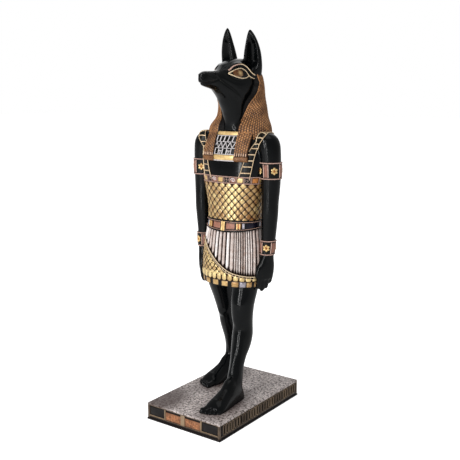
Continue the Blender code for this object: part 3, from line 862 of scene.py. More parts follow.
ears = {
    "foot": 254.0,
    "tall": 39.0,
    "leftShare": 0.95,
    "sections": (  # level, x, y, half width, half depth
        (254.0, 10.0, 24.0, 6.4, 6.2),
        (262.0, 10.8, 22.6, 7.4, 5.8),
        (269.0, 11.1, 21.6, 7.5, 5.2),
        (276.0, 11.5, 20.6, 6.7, 4.4),
        (283.0, 11.6, 19.6, 5.0, 3.4),
        (288.0, 11.3, 18.9, 3.3, 2.4),
        (291.5, 10.9, 18.4, 1.6, 1.3),
        (293.0, 10.7, 18.2, 0.5, 0.5),
    ),
    "scoop": 1.55,
    "scoopLevels": (260.0, 290.0),
    "scoopFade": 8.0,
    "turn": math.radians(12),
}


def sideSpot(tree, side, y, z, rise):  # a point on the side of the head, seen square on from that side
    where, normal, _, _ = tree.ray_cast(spot(side * 40.0, y, z), Vector((-side, 0.0, 0.0)))
    if where is None:
        where, normal, _, _ = tree.find_nearest(spot(side * 12.0, y, z))
    return where + normal * (rise * unit), normal


def sideLine(tree, points, side, rise, count=44):
    keys = keyed(points)
    path, normals = [], []
    for step in range(count + 1):
        _, y, z = rowAt(keys, (len(points) - 1) * step / count)
        place, normal = sideSpot(tree, side, y, z, rise)
        path.append(place)
        normals.append(normal)
    for _ in range(4):  # the line runs smoothly over the small bumps of the skin
        inside = [(before + 2 * here + after) / 4 for before, here, after in zip(path, path[1:], path[2:])]
        path = [path[0], *inside, path[-1]]
    return path, normals


def nearLine(points, y, z):  # distance from a line drawn on the side of the head, and the share along it
    best = (1e9, 0.0, 0.0)
    for index, (start, end) in enumerate(zip(points, points[1:])):
        run = (end[0] - start[0], end[1] - start[1])
        length = run[0] ** 2 + run[1] ** 2
        part = held(((y - start[0]) * run[0] + (z - start[1]) * run[1]) / length)
        gapY, gapZ = y - start[0] - run[0] * part, z - start[1] - run[1] * part
        gap = math.hypot(gapY, gapZ)
        if gap < best[0]:
            above = 1.0 if run[0] * gapZ - run[1] * gapY > 0 else -1.0
            best = (gap, (index + part) / (len(points) - 1), above)
    return best


def addEar(shape, side):
    share = ears["leftShare"] if side > 0 else 1.0
    scoopLow, scoopHigh = ears["scoopLevels"]
    lean = ears["turn"]
    rings = []
    for step in range(61):
        level = ears["foot"] + ears["tall"] * step / 60
        _, x, y, a, b = rowAt(ears["sections"], level)
        scoop = ears["scoop"] * held((level - scoopLow) / ears["scoopFade"])
        scoop *= held((scoopHigh - level) / ears["scoopFade"])
        ring = []
        for index in range(40):
            turn = 2 * math.pi * index / 40
            across, deep = math.sin(turn), math.cos(turn)
            if deep > 0:
                deep -= scoop * max(1.0 - (across / 0.78) ** 2, 0.0) ** 1.5
            offX, offY = a * across, -b * deep
            place = spot(x + offX * math.cos(lean) - offY * math.sin(lean),
                         y + offX * math.sin(lean) + offY * math.cos(lean),
                         ears["foot"] + (level - ears["foot"]) * share)
            ring.append(flipped(place, side))
        rings.append(ring)
    growRings(shape, rings)


def carveHead(skin):  # cheek creases, mouth, eye sockets and nostrils, pressed in along the skin's directions
    eyeY, eyeZ, longHalf, highHalf = head["socket"]
    skin.normal_update()
    for vert in skin.verts:
        x, y, z = inUnits(vert.co)
        if z > 264.0 or y > 20.0:
            continue
        push = 0.0
        gap, along, above = nearLine(head["crease"], y, z)
        if gap < 6.0 and abs(vert.normal.x) > 0.3:
            fold = -0.95 * bell(gap / 1.2) + (0.8 * bell((gap - 2.6) / 1.7) if above < 0 else 0.0)
            push += math.sin(math.pi * held(along, 0.04, 0.96)) * fold
        gap, along, _ = nearLine(head["mouth"], y, z)
        if gap < 3.0:
            push -= 0.7 * bell(gap / 0.6) * min(1.0, (1.02 - along) * 5.0)
        ring = math.hypot((y - eyeY) / longHalf, (z - eyeZ) / highHalf)
        if ring < 1.6 and abs(vert.normal.x) > 0.35:
            push -= 0.9 * bell((ring - 0.95) / 0.28)
        for *pit, radius in head["nostrils"]:
            push -= bell(math.dist((x, y, z), pit) / radius)
        vert.co += vert.normal * (push * unit)
    smooth(skin, skin.verts, 0.4)


def makeHead():
    shape = newShape()
    rings = []
    for step in range(91):
        y, wide, low, high = rowAt(head["sections"], head["from"] + head["length"] * step / 90)
        ring = []
        for index in range(56):
            turn = 2 * math.pi * index / 56
            level = (low + high) / 2 + (high - low) / 2 * bent(math.sin(turn), 2.2)
            ring.append(spot(wide * bent(math.cos(turn), 2.3), y, level))
        rings.append(ring)
    growRings(shape, rings)
    bare = BVHTree.FromBMesh(shape)
    growRings(shape, levelRings(torso["sections"], 213.0, 242.0, 24, 48, 0.12))
    for side in (1.0, -1.0):
        for line, half, tall in head["ridges"]:
            path, normals = sideLine(bare, head[line], side, 0.0)
            addTube(shape, path, normals, lambda share: half * (0.55 + 0.9 * math.sin(math.pi * share)),
                    tall, sides=10)
    for x, y, z, *size in head["nose"]:
        addBall(shape, spot(x, y, z), size, detail=3)
    for side in (1.0, -1.0):
        addEar(shape, side)
    skin = fuse(shape, head["voxel"], 3)

    def throat(x, y, level):
        return 226.0 < level < 246.0 - 0.35 * y and y < 16.0

    def browOrLid(x, y, level):
        return -9.0 < y < 21.0 and 251.0 < level < 267.0

    soften(skin, 220, throat)
    soften(skin, 22, browOrLid)
    carveHead(skin)
    return skin


headSkin = makeHead()
headTree = BVHTree.FromBMesh(headSkin)
finishPiece("blackHead", headSkin, [blackEnamel], "figure", 70.0)


# Eyes and brows, laid on the head from each side

eyes = {
    "upper": (*head["lidUpper"], (17.2, 254.2), (19.6, 253.8)),
    "lower": head["lidLower"],
    "brow": head["brow"],
    "forms": (  # y, level, half length, half height, swell, finish
        (4.6, 257.4, 8.8, 3.3, 0.7, 2),
        (2.9, 257.5, 5.0, 2.9, 1.2, 3),
    ),
    "glint": (3.9, 257.8, 1.7),
    "lineHalf": 0.5,
    "pinkShare": 16,
}


def addEyeForm(shape, side, y, z, halfY, halfZ, swell, finish):
    def lid(u, v, rise):
        p, q = roundedOff(u, v)
        thin = (1.0 - abs(p) ** 1.7 * 0.75) if finish == 2 else 1.0
        return sideSpot(headTree, side, y + p * halfY, z + q * halfZ * thin, rise)[0]

    # the iris is painted lighter round the glint: a painted highlight
    def pale(place):
        glintY, glintZ, reach = eyes["glint"]
        _, placeY, placeZ = inUnits(place)
        return 0.9 * bell(math.hypot(placeY - glintY, placeZ - glintZ) / reach) - 0.15

    addPatch(shape, 22, 16, lid, -0.9, swollen(swell, 0.7), finish, pale, finish != 2)


def makeEyes():
    shape = newShape()
    turn = eyes["pinkShare"]
    for side in (1.0, -1.0):
        for name in ("upper", "lower"):
            path, normals = sideLine(headTree, eyes[name], side, 0.1)
            addTube(shape, path, normals, lambda share: eyes["lineHalf"] * (1.0 - 0.3 * share), 0.5, tone=1.0)
        path, normals = sideLine(headTree, eyes["brow"], side, 0.1)
        addTube(shape, path[:turn + 1], normals[:turn + 1], lambda share: 0.7 - 0.28 * share, 0.5, finish=1,
                tone=0.9)
        addTube(shape, path[turn:], normals[turn:], 0.42, 0.5, tone=0.9)
        for form in eyes["forms"]:
            addEyeForm(shape, side, *form)
    finishPiece("eyes", shape, [creamLine, pinkLine, blackPanel, irisGold], "figure", 60.0)


makeEyes()


# Wig: knotted strands over the head, two falls in front and one down the back

wig = {
    "sections": (  # level, half width, half depth, middle y, half width of the opening at the front
        (203.0, 29.0, 17.5, 20.4, 10.2),
        (216.0, 27.2, 17.8, 21.0, 9.8),
        (224.0, 22.8, 15.4, 23.6, 10.8),
        (232.0, 20.8, 15.6, 23.8, 13.8),
        (240.0, 19.6, 17.4, 22.0, 18.2),
        (248.0, 18.6, 16.6, 22.4, 18.5),
        (256.0, 16.6, 14.8, 22.8, 16.5),
        (262.0, 13.0, 11.0, 23.0, 12.9),
    ),
    "strands": 62,
    "knotPitch": 2.0,
    "depth": 1.0,
    "core": 7.0,
    "coreY": 15.0,
    # level, y of the face, outer edge
    "lappet": ((190.0, -1.6, 20.6), (191.6, -2.9, 21.0), (196.0, -2.4, 21.0), (206.0, -0.2, 21.0),
               (213.0, 3.0, 21.0),
               (217.0, 7.0, 20.6), (221.0, 12.5, 20.0)),
    "lappetTurn": 0.0006,
    "tail": ((182.0, 32.0, 17.0), (184.0, 33.6, 17.4), (194.0, 34.8, 18.0), (204.0, 37.2, 18.0),
             (211.0, 38.2, 18.0)),
    "falls": (  # rows, inner edge, the way it faces, crown, lowest and highest level
        ("lappet", 10.0, -1.0, 0.006, 190.0, 220.0),
        ("tail", -0.4, 1.0, 0.012, 182.0, 211.0),
    ),
    "strandWidth": 1.85,
    "bandHeight": 4.2,
    "tipHeight": 2.8,
    "mottle": 160.0,
}


def strandHeight(across, along):  # knots along a strand, staggered from one strand to the next
    strand = math.floor(across)
    fullness = math.sqrt(max(1.0 - (2.0 * (across - strand) - 1.0) ** 2, 0.0))
    knot = abs(math.sin(math.pi * (along / wig["knotPitch"] + 0.5 * (strand % 2))))
    return fullness * (0.2 + 0.8 * knot ** 0.75)


def strandTone(place):
    return 0.5 + 0.5 * noise.noise(place * wig["mottle"])


def makeWigCrown():
    shape = newShape()
    columns, rows = wig["strands"] * 6, 150
    lowest, highest = wig["sections"][0][0], wig["sections"][-1][0]
    sheet = bmesh.ops.create_grid(shape, x_segments=columns, y_segments=rows, size=1.0)["verts"]
    border = [edge for edge in shape.edges if edge.is_boundary]
    skirt = vertsOf(bmesh.ops.extrude_edge_only(shape, edges=border)["geom"])
    for verts, inner in ((sheet, False), (skirt, True)):
        for vert in verts:
            u, v = sheetPlace(vert)
            level = lowest + (highest - lowest) * v
            _, a, b, y, opening = rowAt(wig["sections"], level)
            start = math.asin(min(opening / a, 1.0))
            turn = start + (2 * math.pi - 2 * start) * u
            if inner:
                vert.co = spot(wig["core"] * math.sin(turn), wig["coreY"] - wig["core"] * math.cos(turn),
                               level)
                continue
            height = strandHeight(u * wig["strands"] * 0.99999, level)
            rise = wig["depth"] * (height - 0.55)
            vert.co = spot((a + rise) * math.sin(turn), y - (b + rise) * math.cos(turn), level)
            mark(shape, [vert], height, strandTone(vert.co))
    rim = [edge for edge in shape.edges if edge.is_boundary]
    bmesh.ops.edgeloop_fill(shape, edges=rim)
    # the skirt that closes the wig underneath takes the dark kilt ground finish: painted shade where the
    # wig's underside lies in shadow
    for vert in skirt:
        for face in vert.link_faces:
            face.material_index = 1
    finishPiece("wigCrown", shape, [strandBronze, kiltGround], "figure", 180.0)


def addFall(shape, side, name, inner, facing, crown, low, top):
    # strands that hang as a flat fall, and below them a row of light tips and a band of knots
    rows = wig[name]
    count = round((max(row[2] for row in rows) - inner) / wig["strandWidth"])
    bandTop = wig["bandHeight"] / (top - low)
    start = (wig["bandHeight"] + wig["tipHeight"]) / (top - low)

    def at(u, v, rise):
        level = low + (top - low) * v
        _, face, outer = rowAt(rows, level)
        x = inner + (outer - inner) * u
        curve = crown + (wig["lappetTurn"] * max(level - 198.0, 0.0) if facing < 0 else 0.0)
        return spot(side * x, face + facing * (rise - curve * x * x), level)

    def strands(u, v):
        level = low + (top - low) * (start + (1 - start) * v)
        return 0.1 + 0.75 * strandHeight(u * count * 0.99999, level)

    def crowned(u, v):
        return 0.95 - 0.6 * (2 * u - 1) ** 2 - 0.25 * (2 * v - 1) ** 4

    def plaited(u, v):
        edge = 1.0 - abs(2 * v - 1) ** 6
        return 0.35 + 0.55 * edge * abs(math.sin(math.pi * (u * count + 2.0 * v))) ** 0.6

    addPatch(shape, count * 6, round((top - low) * (1 - start) / wig["knotPitch"] * 4),
             lambda u, v, rise: at(u, start + (1 - start) * v, rise), -4.0, strands, 0, strandTone, False)
    for index in range(count):
        left, right, bottom, high = (index + 0.16) / count, (index + 0.84) / count, bandTop, start + 0.01

        def tip(u, v, rise):
            return at(left + (right - left) * u, bottom + (high - bottom) * v, rise)

        addPatch(shape, 4, 4, tip, -3.0, crowned, 1, 0.4 + 0.5 * chance.random())
    addPatch(shape, count * 6, 14, lambda u, v, rise: at(u, bandTop * v, rise), -3.0, plaited, 0, 0.15, False)


def makeFalls():
    shape = newShape()
    for fall in wig["falls"]:
        for side in (1.0, -1.0):
            addFall(shape, side, *fall)
    finishPiece("wigFalls", shape, [strandBronze, strandTip], "figure", 180.0)


def makeWigEdges():  # a light corded edge where the wig meets the face, and beside the collar
    shape = newShape()
    for side in (1.0, -1.0):
        path, normals = [], []
        for step in range(61):
            level = 221.0 + 36.0 * step / 60
            _, a, b, y, opening = rowAt(wig["sections"], level)
            turn = math.asin(min(opening / a, 1.0))
            normals.append(Vector((side * math.sin(turn) * 0.4, -1.0, 0.0)).normalized())
            path.append(spot(side * (a * math.sin(turn) - 0.2), y - b * math.cos(turn) - 0.1, level))
        addTube(shape, path, normals, 0.5, 0.55, tone=0.3)
        for step in range(2, 59, 2):
            addBall(shape, path[step] + normals[step] * (0.3 * unit), (0.5, 0.5, 0.5), detail=1,
                    tone=0.3 + 0.7 * chance.random())
    finishPiece("wigEdges", shape, [strandBronze], "figure", 70.0)


makeWigCrown()
makeFalls()
makeWigEdges()


# Collar plate between the lappets

collar = {
    "rows": ((190.5, -1.6), (194.5, -1.6), (204.0, 1.4), (213.0, 4.6)),  # level, y of its face at the middle
    "bottom": 190.5,
    "height": 22.7,
    "halfWidth": 11.0,
    "crown": 0.012,
    "lowBand": (190.6, 195.3),
    "highBand": (210.2, 213.2),
    "rowHeight": 4.9,
    "bar": 0.5,
}


def collarPlace(x, level, rise):
    _, front = rowAt(collar["rows"], level)
    return spot(x, front + collar["crown"] * x * x - rise, level)


def collarStroke(shape, start, end, halfWidth):
    path = []
    for step in range(5):
        share = step / 4
        x = start[0] + (end[0] - start[0]) * share
        level = start[1] + (end[1] - start[1]) * share
        path.append(collarPlace(x, level, 0.35))
    addTube(shape, path, [Vector((0.0, -1.0, 0.0))] * 5, halfWidth, 0.34, finish=2, sides=6)


def makeCollar():
    shape = newShape()
    half = collar["halfWidth"]

    def plate(u, v, rise):
        return collarPlace(half * (2 * u - 1), collar["bottom"] + collar["height"] * v, rise)

    addPatch(shape, 20, 30, plate, -9.0, 0.2, 0, 0.5, False)
    for low, high in (collar["lowBand"], collar["highBand"]):
        def band(u, v, rise):
            return collarPlace((half + 0.1) * (2 * u - 1), low + (high - low) * v, rise)

        addPatch(shape, 24, 10, band, -3.0, lambda u, v: 0.55 + 0.55 * (1 - abs(2 * v - 1) ** 4), 1, 0.75)
    low, base = collar["lowBand"]
    edge = [collarPlace((half + 0.2) * (2 * step / 24 - 1), low + 0.2, 0.7) for step in range(25)]
    addTube(shape, edge, [Vector((0.0, -1.0, -0.3)).normalized()] * 25, 0.5, 0.6, finish=2)
    step = collar["rowHeight"]
    bar = collar["bar"]
    second, third, top = base + step, base + 2 * step, base + 3 * step
    for level in (base + 0.2, second, third, top - 0.2):
        collarStroke(shape, (-half, level), (half, level), 0.28)
    for index in range(6):  # top row: leaning bars
        x = -half + (index + 0.35) * 2 * half / 5.6
        collarStroke(shape, (x - 0.5, third + 0.3), (x + 0.5, top - 0.4), bar)
    for index in range(5):  # middle row: points
        x = -half + (index + 0.5) * 2 * half / 5
        collarStroke(shape, (x - half / 5, second + 0.3), (x, third - 0.4), bar * 0.8)
        collarStroke(shape, (x, third - 0.4), (x + half / 5, second + 0.3), bar * 0.8)
    for index in range(6):  # low row: upright bars with small arches
        x = -half + (index + 0.3) * 2 * half / 5.6
        collarStroke(shape, (x, base + 0.4), (x + 0.2, second - 0.4), bar)
    for index in (1, 3):
        x = -half + (index + 0.8) * 2 * half / 5.6
        arch = base + step * 0.6
        collarStroke(shape, (x, base + 0.4), (x, arch), bar * 0.8)
        collarStroke(shape, (x - 1.6, arch), (x + 1.6, arch), bar * 0.7)
    finishPiece("collarPlate", shape, [blackPanel, yellowPanel, whiteLine], "figure", 50.0)


makeCollar()


# Corset: a net of gold scales, a jewelled band above it and two ladder straps

corset = {
    "bottom": 143.0,
    "top": 173.2,
    "around": 22,
    "rowPitch": 3.02,
    "scaleRise": 1.0,
    "scaleShare": 0.87,
    # share round the body where the painted highlight on the scales is brightest
    "highlightShare": 0.12,
    "bandLow": 172.8,
    "bandHigh": 178.6,
    "cells": ("check", "swirl", "orange", "check", "redBrown", "yellow", "swirl", "red", "yellow", "check",
              "swirl",
              "orange"),
    "plainCells": {"yellow": 3, "orange": 3, "red": 5, "redBrown": 4},
    "strapOuter": ((21.8, 2.4, 176.5), (22.2, 2.5, 179.0), (23.0, 2.9, 182.7), (23.8, 3.5, 187.7),
                   (24.7, 4.5, 193.5), (25.9, 5.9, 198.8), (27.9, 6.8, 202.7), (30.4, 8.2, 207.0),
                   (31.6, 11.0, 210.5), (31.2, 16.0, 212.5), (30.6, 21.0, 210.5), (28.6, 25.0, 206.0),
                   (26.2, 28.0, 199.0), (24.6, 29.4, 190.0), (23.2, 29.6, 182.0), (22.6, 29.2, 176.5)),
    "strapInner": ((13.4, -0.8, 176.5), (14.0, -0.8, 179.0), (15.4, -0.5, 182.7), (16.9, 0.3, 187.7),
                   (18.9, 1.5, 193.5), (21.0, 3.4, 198.8), (22.8, 5.2, 202.7), (25.2, 8.2, 207.6),
                   (26.6, 11.4, 211.2), (26.6, 16.0, 213.5), (26.0, 21.0, 211.6), (24.2, 25.6, 206.5),
                   (20.6, 29.2, 199.0), (17.6, 30.6, 190.0), (15.0, 30.6, 182.0), (14.0, 30.2, 176.5)),
    "barPitch": 5.0,
}


def diamondPlace(rows, share, level, halfWidth, halfHeight, bulge=0.2):
    around = halfRound(rows, level)

    def at(u, v, rise):
        a, b = 2 * u - 1, 2 * v - 1
        p, q = (a + b) / 2, (b - a) / 2
        total = abs(p) + abs(q)
        grow = 1.0 + bulge * (4 * abs(p * q) / (total * total)) if total > 1e-6 else 1.0
        return bodySpot(rows, level + q * grow * halfHeight, share + p * grow * halfWidth / around, rise)
    return at


def makeCorset():
    shape = newShape()
    rows = torso["sections"]
    around, pitch, size = corset["around"], corset["rowPitch"], corset["scaleShare"]
    growRings(shape, levelRings(rows, 142.6, 178.4, 24, 96, 0.25), finish=1)
    mark(shape, shape.verts, 1.0, 0.4)
    for row in range(int((corset["top"] - corset["bottom"]) / pitch) + 1):
        level = corset["bottom"] + 0.9 + row * pitch
        for index in range(around):
            share = -1.0 + 2.0 * (index + 0.5 * (row % 2) + 0.25) / around
            # painted highlight: scales are lighter in a column near the front that widens upward, and a
            # little lighter over the figure's right side; each scale also gets a random tone
            wide = halfRound(rows, level) / around
            reach = 0.07 + 0.05 * (level - corset["bottom"]) / 30.0
            highlightTone = 0.12 + 0.9 * bell((share - corset["highlightShare"]) / reach)
            highlightTone += 0.12 if -0.7 < share < 0.05 else 0.0
            highlightTone += 0.36 * (chance.random() - 0.5)
            place = diamondPlace(rows, share, level, wide * size, pitch * size, 0.13)
            addPatch(shape, 6, 6, place, -0.2, swollen(corset["scaleRise"], 0.5), 0, held(highlightTone))
    finishPiece("corset", shape, [scaleGold, scaleGround], "figure", 60.0)


def addChecks(shape, rows, start, pitch, middle):  # four dark squares in one cell
    for a in range(2):
        for b in range(2):
            def quarter(u, v, rise):
                return bodySpot(rows, middle + (b - 1 + 0.02 + 0.96 * v) * 1.75,
                                start + pitch * (0.14 + 0.36 * (a + 0.01 + 0.98 * u)), rise)

            addPatch(shape, 3, 3, quarter, 0.2, swollen(0.85, 0.3), 0, 0.5)


def addSwirl(shape, rows, start, pitch, middle):
    points = []
    for step in range(22):
        turn = 0.45 * step
        points.append((middle + 0.085 * step * math.sin(turn),
                       start + pitch * (0.5 + 0.018 * step * math.cos(turn))))
    addTube(shape, *bodyLine(rows, points, 0.8), 0.3, 0.3, False, 6, 6, 0.8)


def makeCorsetBand():
    shape = newShape()
    rows = torso["sections"]
    low, high = corset["bandLow"], corset["bandHigh"]
    growRings(shape, levelRings(rows, low, high, 6, 96, 0.45))
    for level in (low + 0.35, high - 0.35):
        addTube(shape, *ringPath(rows, level, 0.6), 0.3, 0.45, True, 1, 8, 0.7)
    cells = corset["cells"] * 2
    pitch = 2.0 / len(cells)
    for index, kind in enumerate(cells):
        start = index * pitch
        addTube(shape, *upright(rows, low + 0.6, high - 0.6, start, 0.55, 3), 0.22, 0.4, False, 1, 6, 0.5)

        def cell(u, v, rise):
            return bodySpot(rows, low + 0.8 + (high - low - 1.6) * v, start + pitch * (0.06 + 0.88 * u), rise)

        if kind == "check":
            addPatch(shape, 5, 5, cell, 0.2, 0.6, 1, 0.9)
            addChecks(shape, rows, start, pitch, (low + high) / 2)
        elif kind == "swirl":
            addPatch(shape, 6, 6, cell, 0.2, swollen(0.7, 0.3), 2, 0.95)
            addSwirl(shape, rows, start, pitch, (low + high) / 2)
        else:
            tone = 0.4 + 0.4 * chance.random()
            addPatch(shape, 5, 5, cell, 0.2, swollen(0.95, 0.35), corset["plainCells"][kind], tone)
    finishes = [blackPanel, pinkLine, pinkPanel, yellowPanel, orangePanel, redPanel, whiteLine]
    finishPiece("corsetBand", shape, finishes, "figure", 45.0)


def strapEdges(side):  # the strap's two edges, read along their length and laid on the skin
    outerKeys, innerKeys = keyed(corset["strapOuter"]), keyed(corset["strapInner"])

    def at(u, v, rise):
        key = (len(outerKeys) - 1) * v
        outer, inner = rowAt(outerKeys, key)[1:], rowAt(innerKeys, key)[1:]
        place = spot(*(Vector(inner) + (Vector(outer) - Vector(inner)) * u))
        where, normal, _, _ = torsoTree.find_nearest(place)
        skin, facing = flipped(where, side), flipped(normal, side)
        return skin + facing * (rise * unit), facing
    return at


def makeStraps():
    shape = newShape()
    for side in (1.0, -1.0):
        at = strapEdges(side)
        addPatch(shape, 8, 110, lambda u, v, rise: at(u, v, rise)[0], -1.2, 0.35, 0, 0.5, False)
        marks, walked = [0.0], 0.0
        last = at(0.5, 0.0, 0.3)[0]
        for step in range(1, 201):
            here = at(0.5, step / 200, 0.3)[0]
            walked += (here - last).length / unit
            marks.append(walked)
            last = here
        bars = round(walked / corset["barPitch"])
        for index in range(1, bars):
            v = bisect.bisect_left(marks, walked * index / bars) / 200
            path, normals = zip(*[at(0.03 + 0.94 * step / 8, v, 0.5) for step in range(9)])
            addTube(shape, path, normals, 0.45, 0.45, False, 1, 6, 0.3 + 0.6 * chance.random())
        for u in (0.0, 1.0):
            path, normals = zip(*[at(u, step / 110, 0.45) for step in range(111)])
            addTube(shape, path, normals, 0.32, 0.5, False, 1, 8, 0.7)
    finishPiece("shoulderStraps", shape, [blackPanel, creamLine], "figure", 50.0)


makeCorset()
makeCorsetBand()
makeStraps()


# Kilt: white pleats, the scaled cloth over them, hem and belt

kilt = {
    "sections": withMiddle((
        (90.6, 25.2, 16.2, 11.2, 2.2),
        (97.0, 25.8, 16.6, 11.3, 2.2),
        (108.0, 25.8, 16.6, 11.5, 2.2),
        (124.0, 24.6, 15.8, 12.2, 2.2),
        (136.0, 23.0, 14.9, 12.9, 2.2),
        (143.5, 22.2, 14.4, 13.4, 2.3),
    )),
    "hemLow": 90.6,
    "hemHigh": 95.6,
    "clothEdge": ((-32.0, 129.0), (-21.0, 125.5), (-12.0, 117.0), (-2.0, 108.5), (10.0, 102.0), (32.0, 98.0)),
    "pleats": 36,
    "pleatShare": 0.74,
    "fineFolds": (0.19, 0.4),
    "pleatRise": 1.15,
    "clothRise": 0.6,
    "around": 28,
    "rowPitch": 2.45,
    "scaleShare": 0.86,
    "dropHigh": 101.6,
    "rim": ((0.0, 0.42, 0.6, 2, 8, 0.9), (1.0, 0.34, 0.45, 3, 6, 0.3), (1.75, 0.32, 0.5, 2, 6, 0.7)),
    "hemSquares": 15,
    "hemFirst": -1.0127,
    "hemPair": 10,
    "beltTop": 143.4,
    "beltSide": 137.2,
    "beltDip": 2.6,
    "beltLines": ((0.0, 0, 0.6, 0.55), (0.12, 1, 0.2, 0.7), (0.88, 1, 0.24, 0.7), (1.0, 0, 0.6, 0.55)),
    "beltPanels": (  # start and end from the front, finish, rise
        (2.4, 10.4, 2, 1.2), (11.2, 15.4, 4, 1.5), (16.2, 18.0, 5, 1.4), (18.8, 30.0, 6, 1.0),
        (30.8, 32.4, 5, 1.4),
        (33.2, 41.4, 2, 1.2), (42.2, 45.8, 3, 1.5), (46.6, 54.8, 2, 1.2), (55.6, 60.6, 6, 1.0),
    ),
    "clasp": ((-1.1, 0.7, 0.6), (1.1, 0.7, 0.6), (0.0, 0.6, 0.8)),
}


def beltLow(share):
    return kilt["beltSide"] - kilt["beltDip"] * max(math.cos(math.pi * share), 0.0) ** 1.4


def beltLevel(share, v):
    low = beltLow(share)
    return low + (kilt["beltTop"] - low) * v


@functools.lru_cache(maxsize=4000)
def clothEdgeLevel(share):
    level = 112.0
    for _ in range(5):
        place, _ = bodyPlace(kilt["sections"], level, share)
        level = rowAt(kilt["clothEdge"], place.x)[1]
    return level


def addPleat(shape, rows, centre, pitch):
    low = clothEdgeLevel(centre) + 0.9
    high = beltLow(centre) + 0.9
    wander = [chance.uniform(-1, 1) for _ in range(3)]
    wide = pitch * (kilt["pleatShare"] + 0.08 * wander[0])

    def fold(u, v, rise):
        level = low + (high - low) * v
        tip = min(1.0, ((level - low) / 3.0 + 0.04) ** 0.6)
        sway = 0.05 * pitch * (wander[1] * math.sin(3.0 * v + wander[2] * 3.0))
        return bodySpot(rows, level, centre + sway + (u - 0.5) * wide * tip, rise)

    def ridge(u, v):
        level = low + (high - low) * v
        fullness = 1.0 - abs(2 * u - 1) ** 2.2
        crease = 0.12 * math.sin(9.0 * u + 5.0 * wander[2]) * math.sin(6.0 * v + 4.0 * wander[0])
        ends = min(1.0, (level - low) / 2.0 + 0.5, (high - level) / 1.5 + 0.2)
        return kilt["pleatRise"] * (0.12 + 0.88 * fullness + crease * fullness) * ends

    addPatch(shape, 8, max(8, round((high - low) / 1.4)), fold, -0.9, ridge, 0, 0.5 + 0.45 * wander[2])


def makePleats():
    shape = newShape()
    rows = kilt["sections"]
    growRings(shape, levelRings(rows, 91.2, kilt["beltTop"], 20, 96, -0.5), finish=1)
    mark(shape, shape.verts, 0.6, 0.3)
    pitch = 2.0 / kilt["pleats"]
    fineFrom, fineTo = kilt["fineFolds"]
    for index in range(kilt["pleats"]):
        middle = -1.0 + (index + 0.5) * pitch
        if fineFrom < middle < fineTo:  # finer folds toward the left hip
            addPleat(shape, rows, middle - pitch / 4, pitch / 2)
            addPleat(shape, rows, middle + pitch / 4, pitch / 2)
        else:
            addPleat(shape, rows, middle, pitch)
    finishPiece("pleats", shape, [pleatWhite, kiltGround], "figure", 60.0)


def addClothRim(shape, path, normals):  # the cloth's upper edge: two cords and a dark line
    for drop, half, tall, finish, sides, tone in kilt["rim"]:
        line = [place - Vector((0.0, 0.0, drop * unit)) for place in path]
        addTube(shape, line, normals, half, tall, True, finish, sides, tone)
    count = len(path)
    for index in range(0, count, 4):  # stitches across the rim and long scales under it
        start, end = path[index], path[(index + 1) % count]
        normal = normals[index]
        along = (end - start).normalized()
        across = along.cross(normal).normalized()
        down = across if across.z < 0 else -across
        turn = Matrix((along, down, normal)).transposed()
        addBall(shape, start + down * (1.0 * unit) + normal * (0.1 * unit), (0.45, 0.85, 0.5), turn, 2, 1,
                0.9)
        if clothEdgeLevel(-1.0 + 2.0 * index / count) > 104.5:
            addBall(shape, start + down * (3.3 * unit), (1.7, 0.95, 0.7), turn, 0, 2,
                    0.3 + 0.5 * chance.random())


def makeScaledCloth():
    shape = newShape()
    rows = kilt["sections"]
    base, hem, around = kilt["clothRise"], kilt["hemHigh"], kilt["around"]

    def ground(u, v, rise):
        share = -1.0 + 2.0 * u
        top = clothEdgeLevel(share)
        return bodySpot(rows, hem - 0.6 + (top - hem + 0.6) * v, share, rise)

    def raised(rise, edge):
        bulge = swollen(rise, edge)
        return lambda u, v: base + bulge(u, v)

    addPatch(shape, 140, 14, ground, -0.6, base, 1, 0.4, False)
    pitch = 2.0 / around
    row = 0
    level = kilt["dropHigh"]
    while level < 132.0:
        wide = halfRound(rows, level) / around
        for index in range(around):
            share = -1.0 + (index + 0.5 * (row % 2) + 0.25) * pitch
            if level + 1.3 < clothEdgeLevel(share) - 2.3:
                # painted highlight: scales are lighter round the front, and each also gets a random tone
                highlightTone = 0.2 + 0.35 * bell((share + 0.1) / 0.2) + 0.4 * (chance.random() - 0.5)
                place = diamondPlace(rows, share, level, wide * kilt["scaleShare"],
                                     kilt["rowPitch"] * kilt["scaleShare"], 0.12)
                addPatch(shape, 6, 6, place, 0.2, raised(0.95, 0.5), 0, held(highlightTone))
        level += kilt["rowPitch"]
        row += 1
    for index in range(around):  # the lowest row hangs as drops
        share = -1.0 + (index + 0.75) * pitch
        top = min(kilt["dropHigh"], clothEdgeLevel(share) - 1.2)

        def drop(u, v, rise):
            p, q = roundedOff(u, v)
            middle = (top + hem) / 2 + 0.2
            return bodySpot(rows, middle + q * (top - hem + 0.8) / 2,
                            share + p * pitch * 0.46 * (1.0 - 0.12 * q), rise)

        addPatch(shape, 6, 6, drop, 0.2, raised(1.15, 0.55), 0, 0.25 + 0.6 * chance.random())
    addClothRim(shape, *ringPath(rows, clothEdgeLevel, base + 0.4, 200))
    finishPiece("scaledCloth", shape, [scaleGold, scaleGround, creamLine, blackPanel], "figure", 60.0)


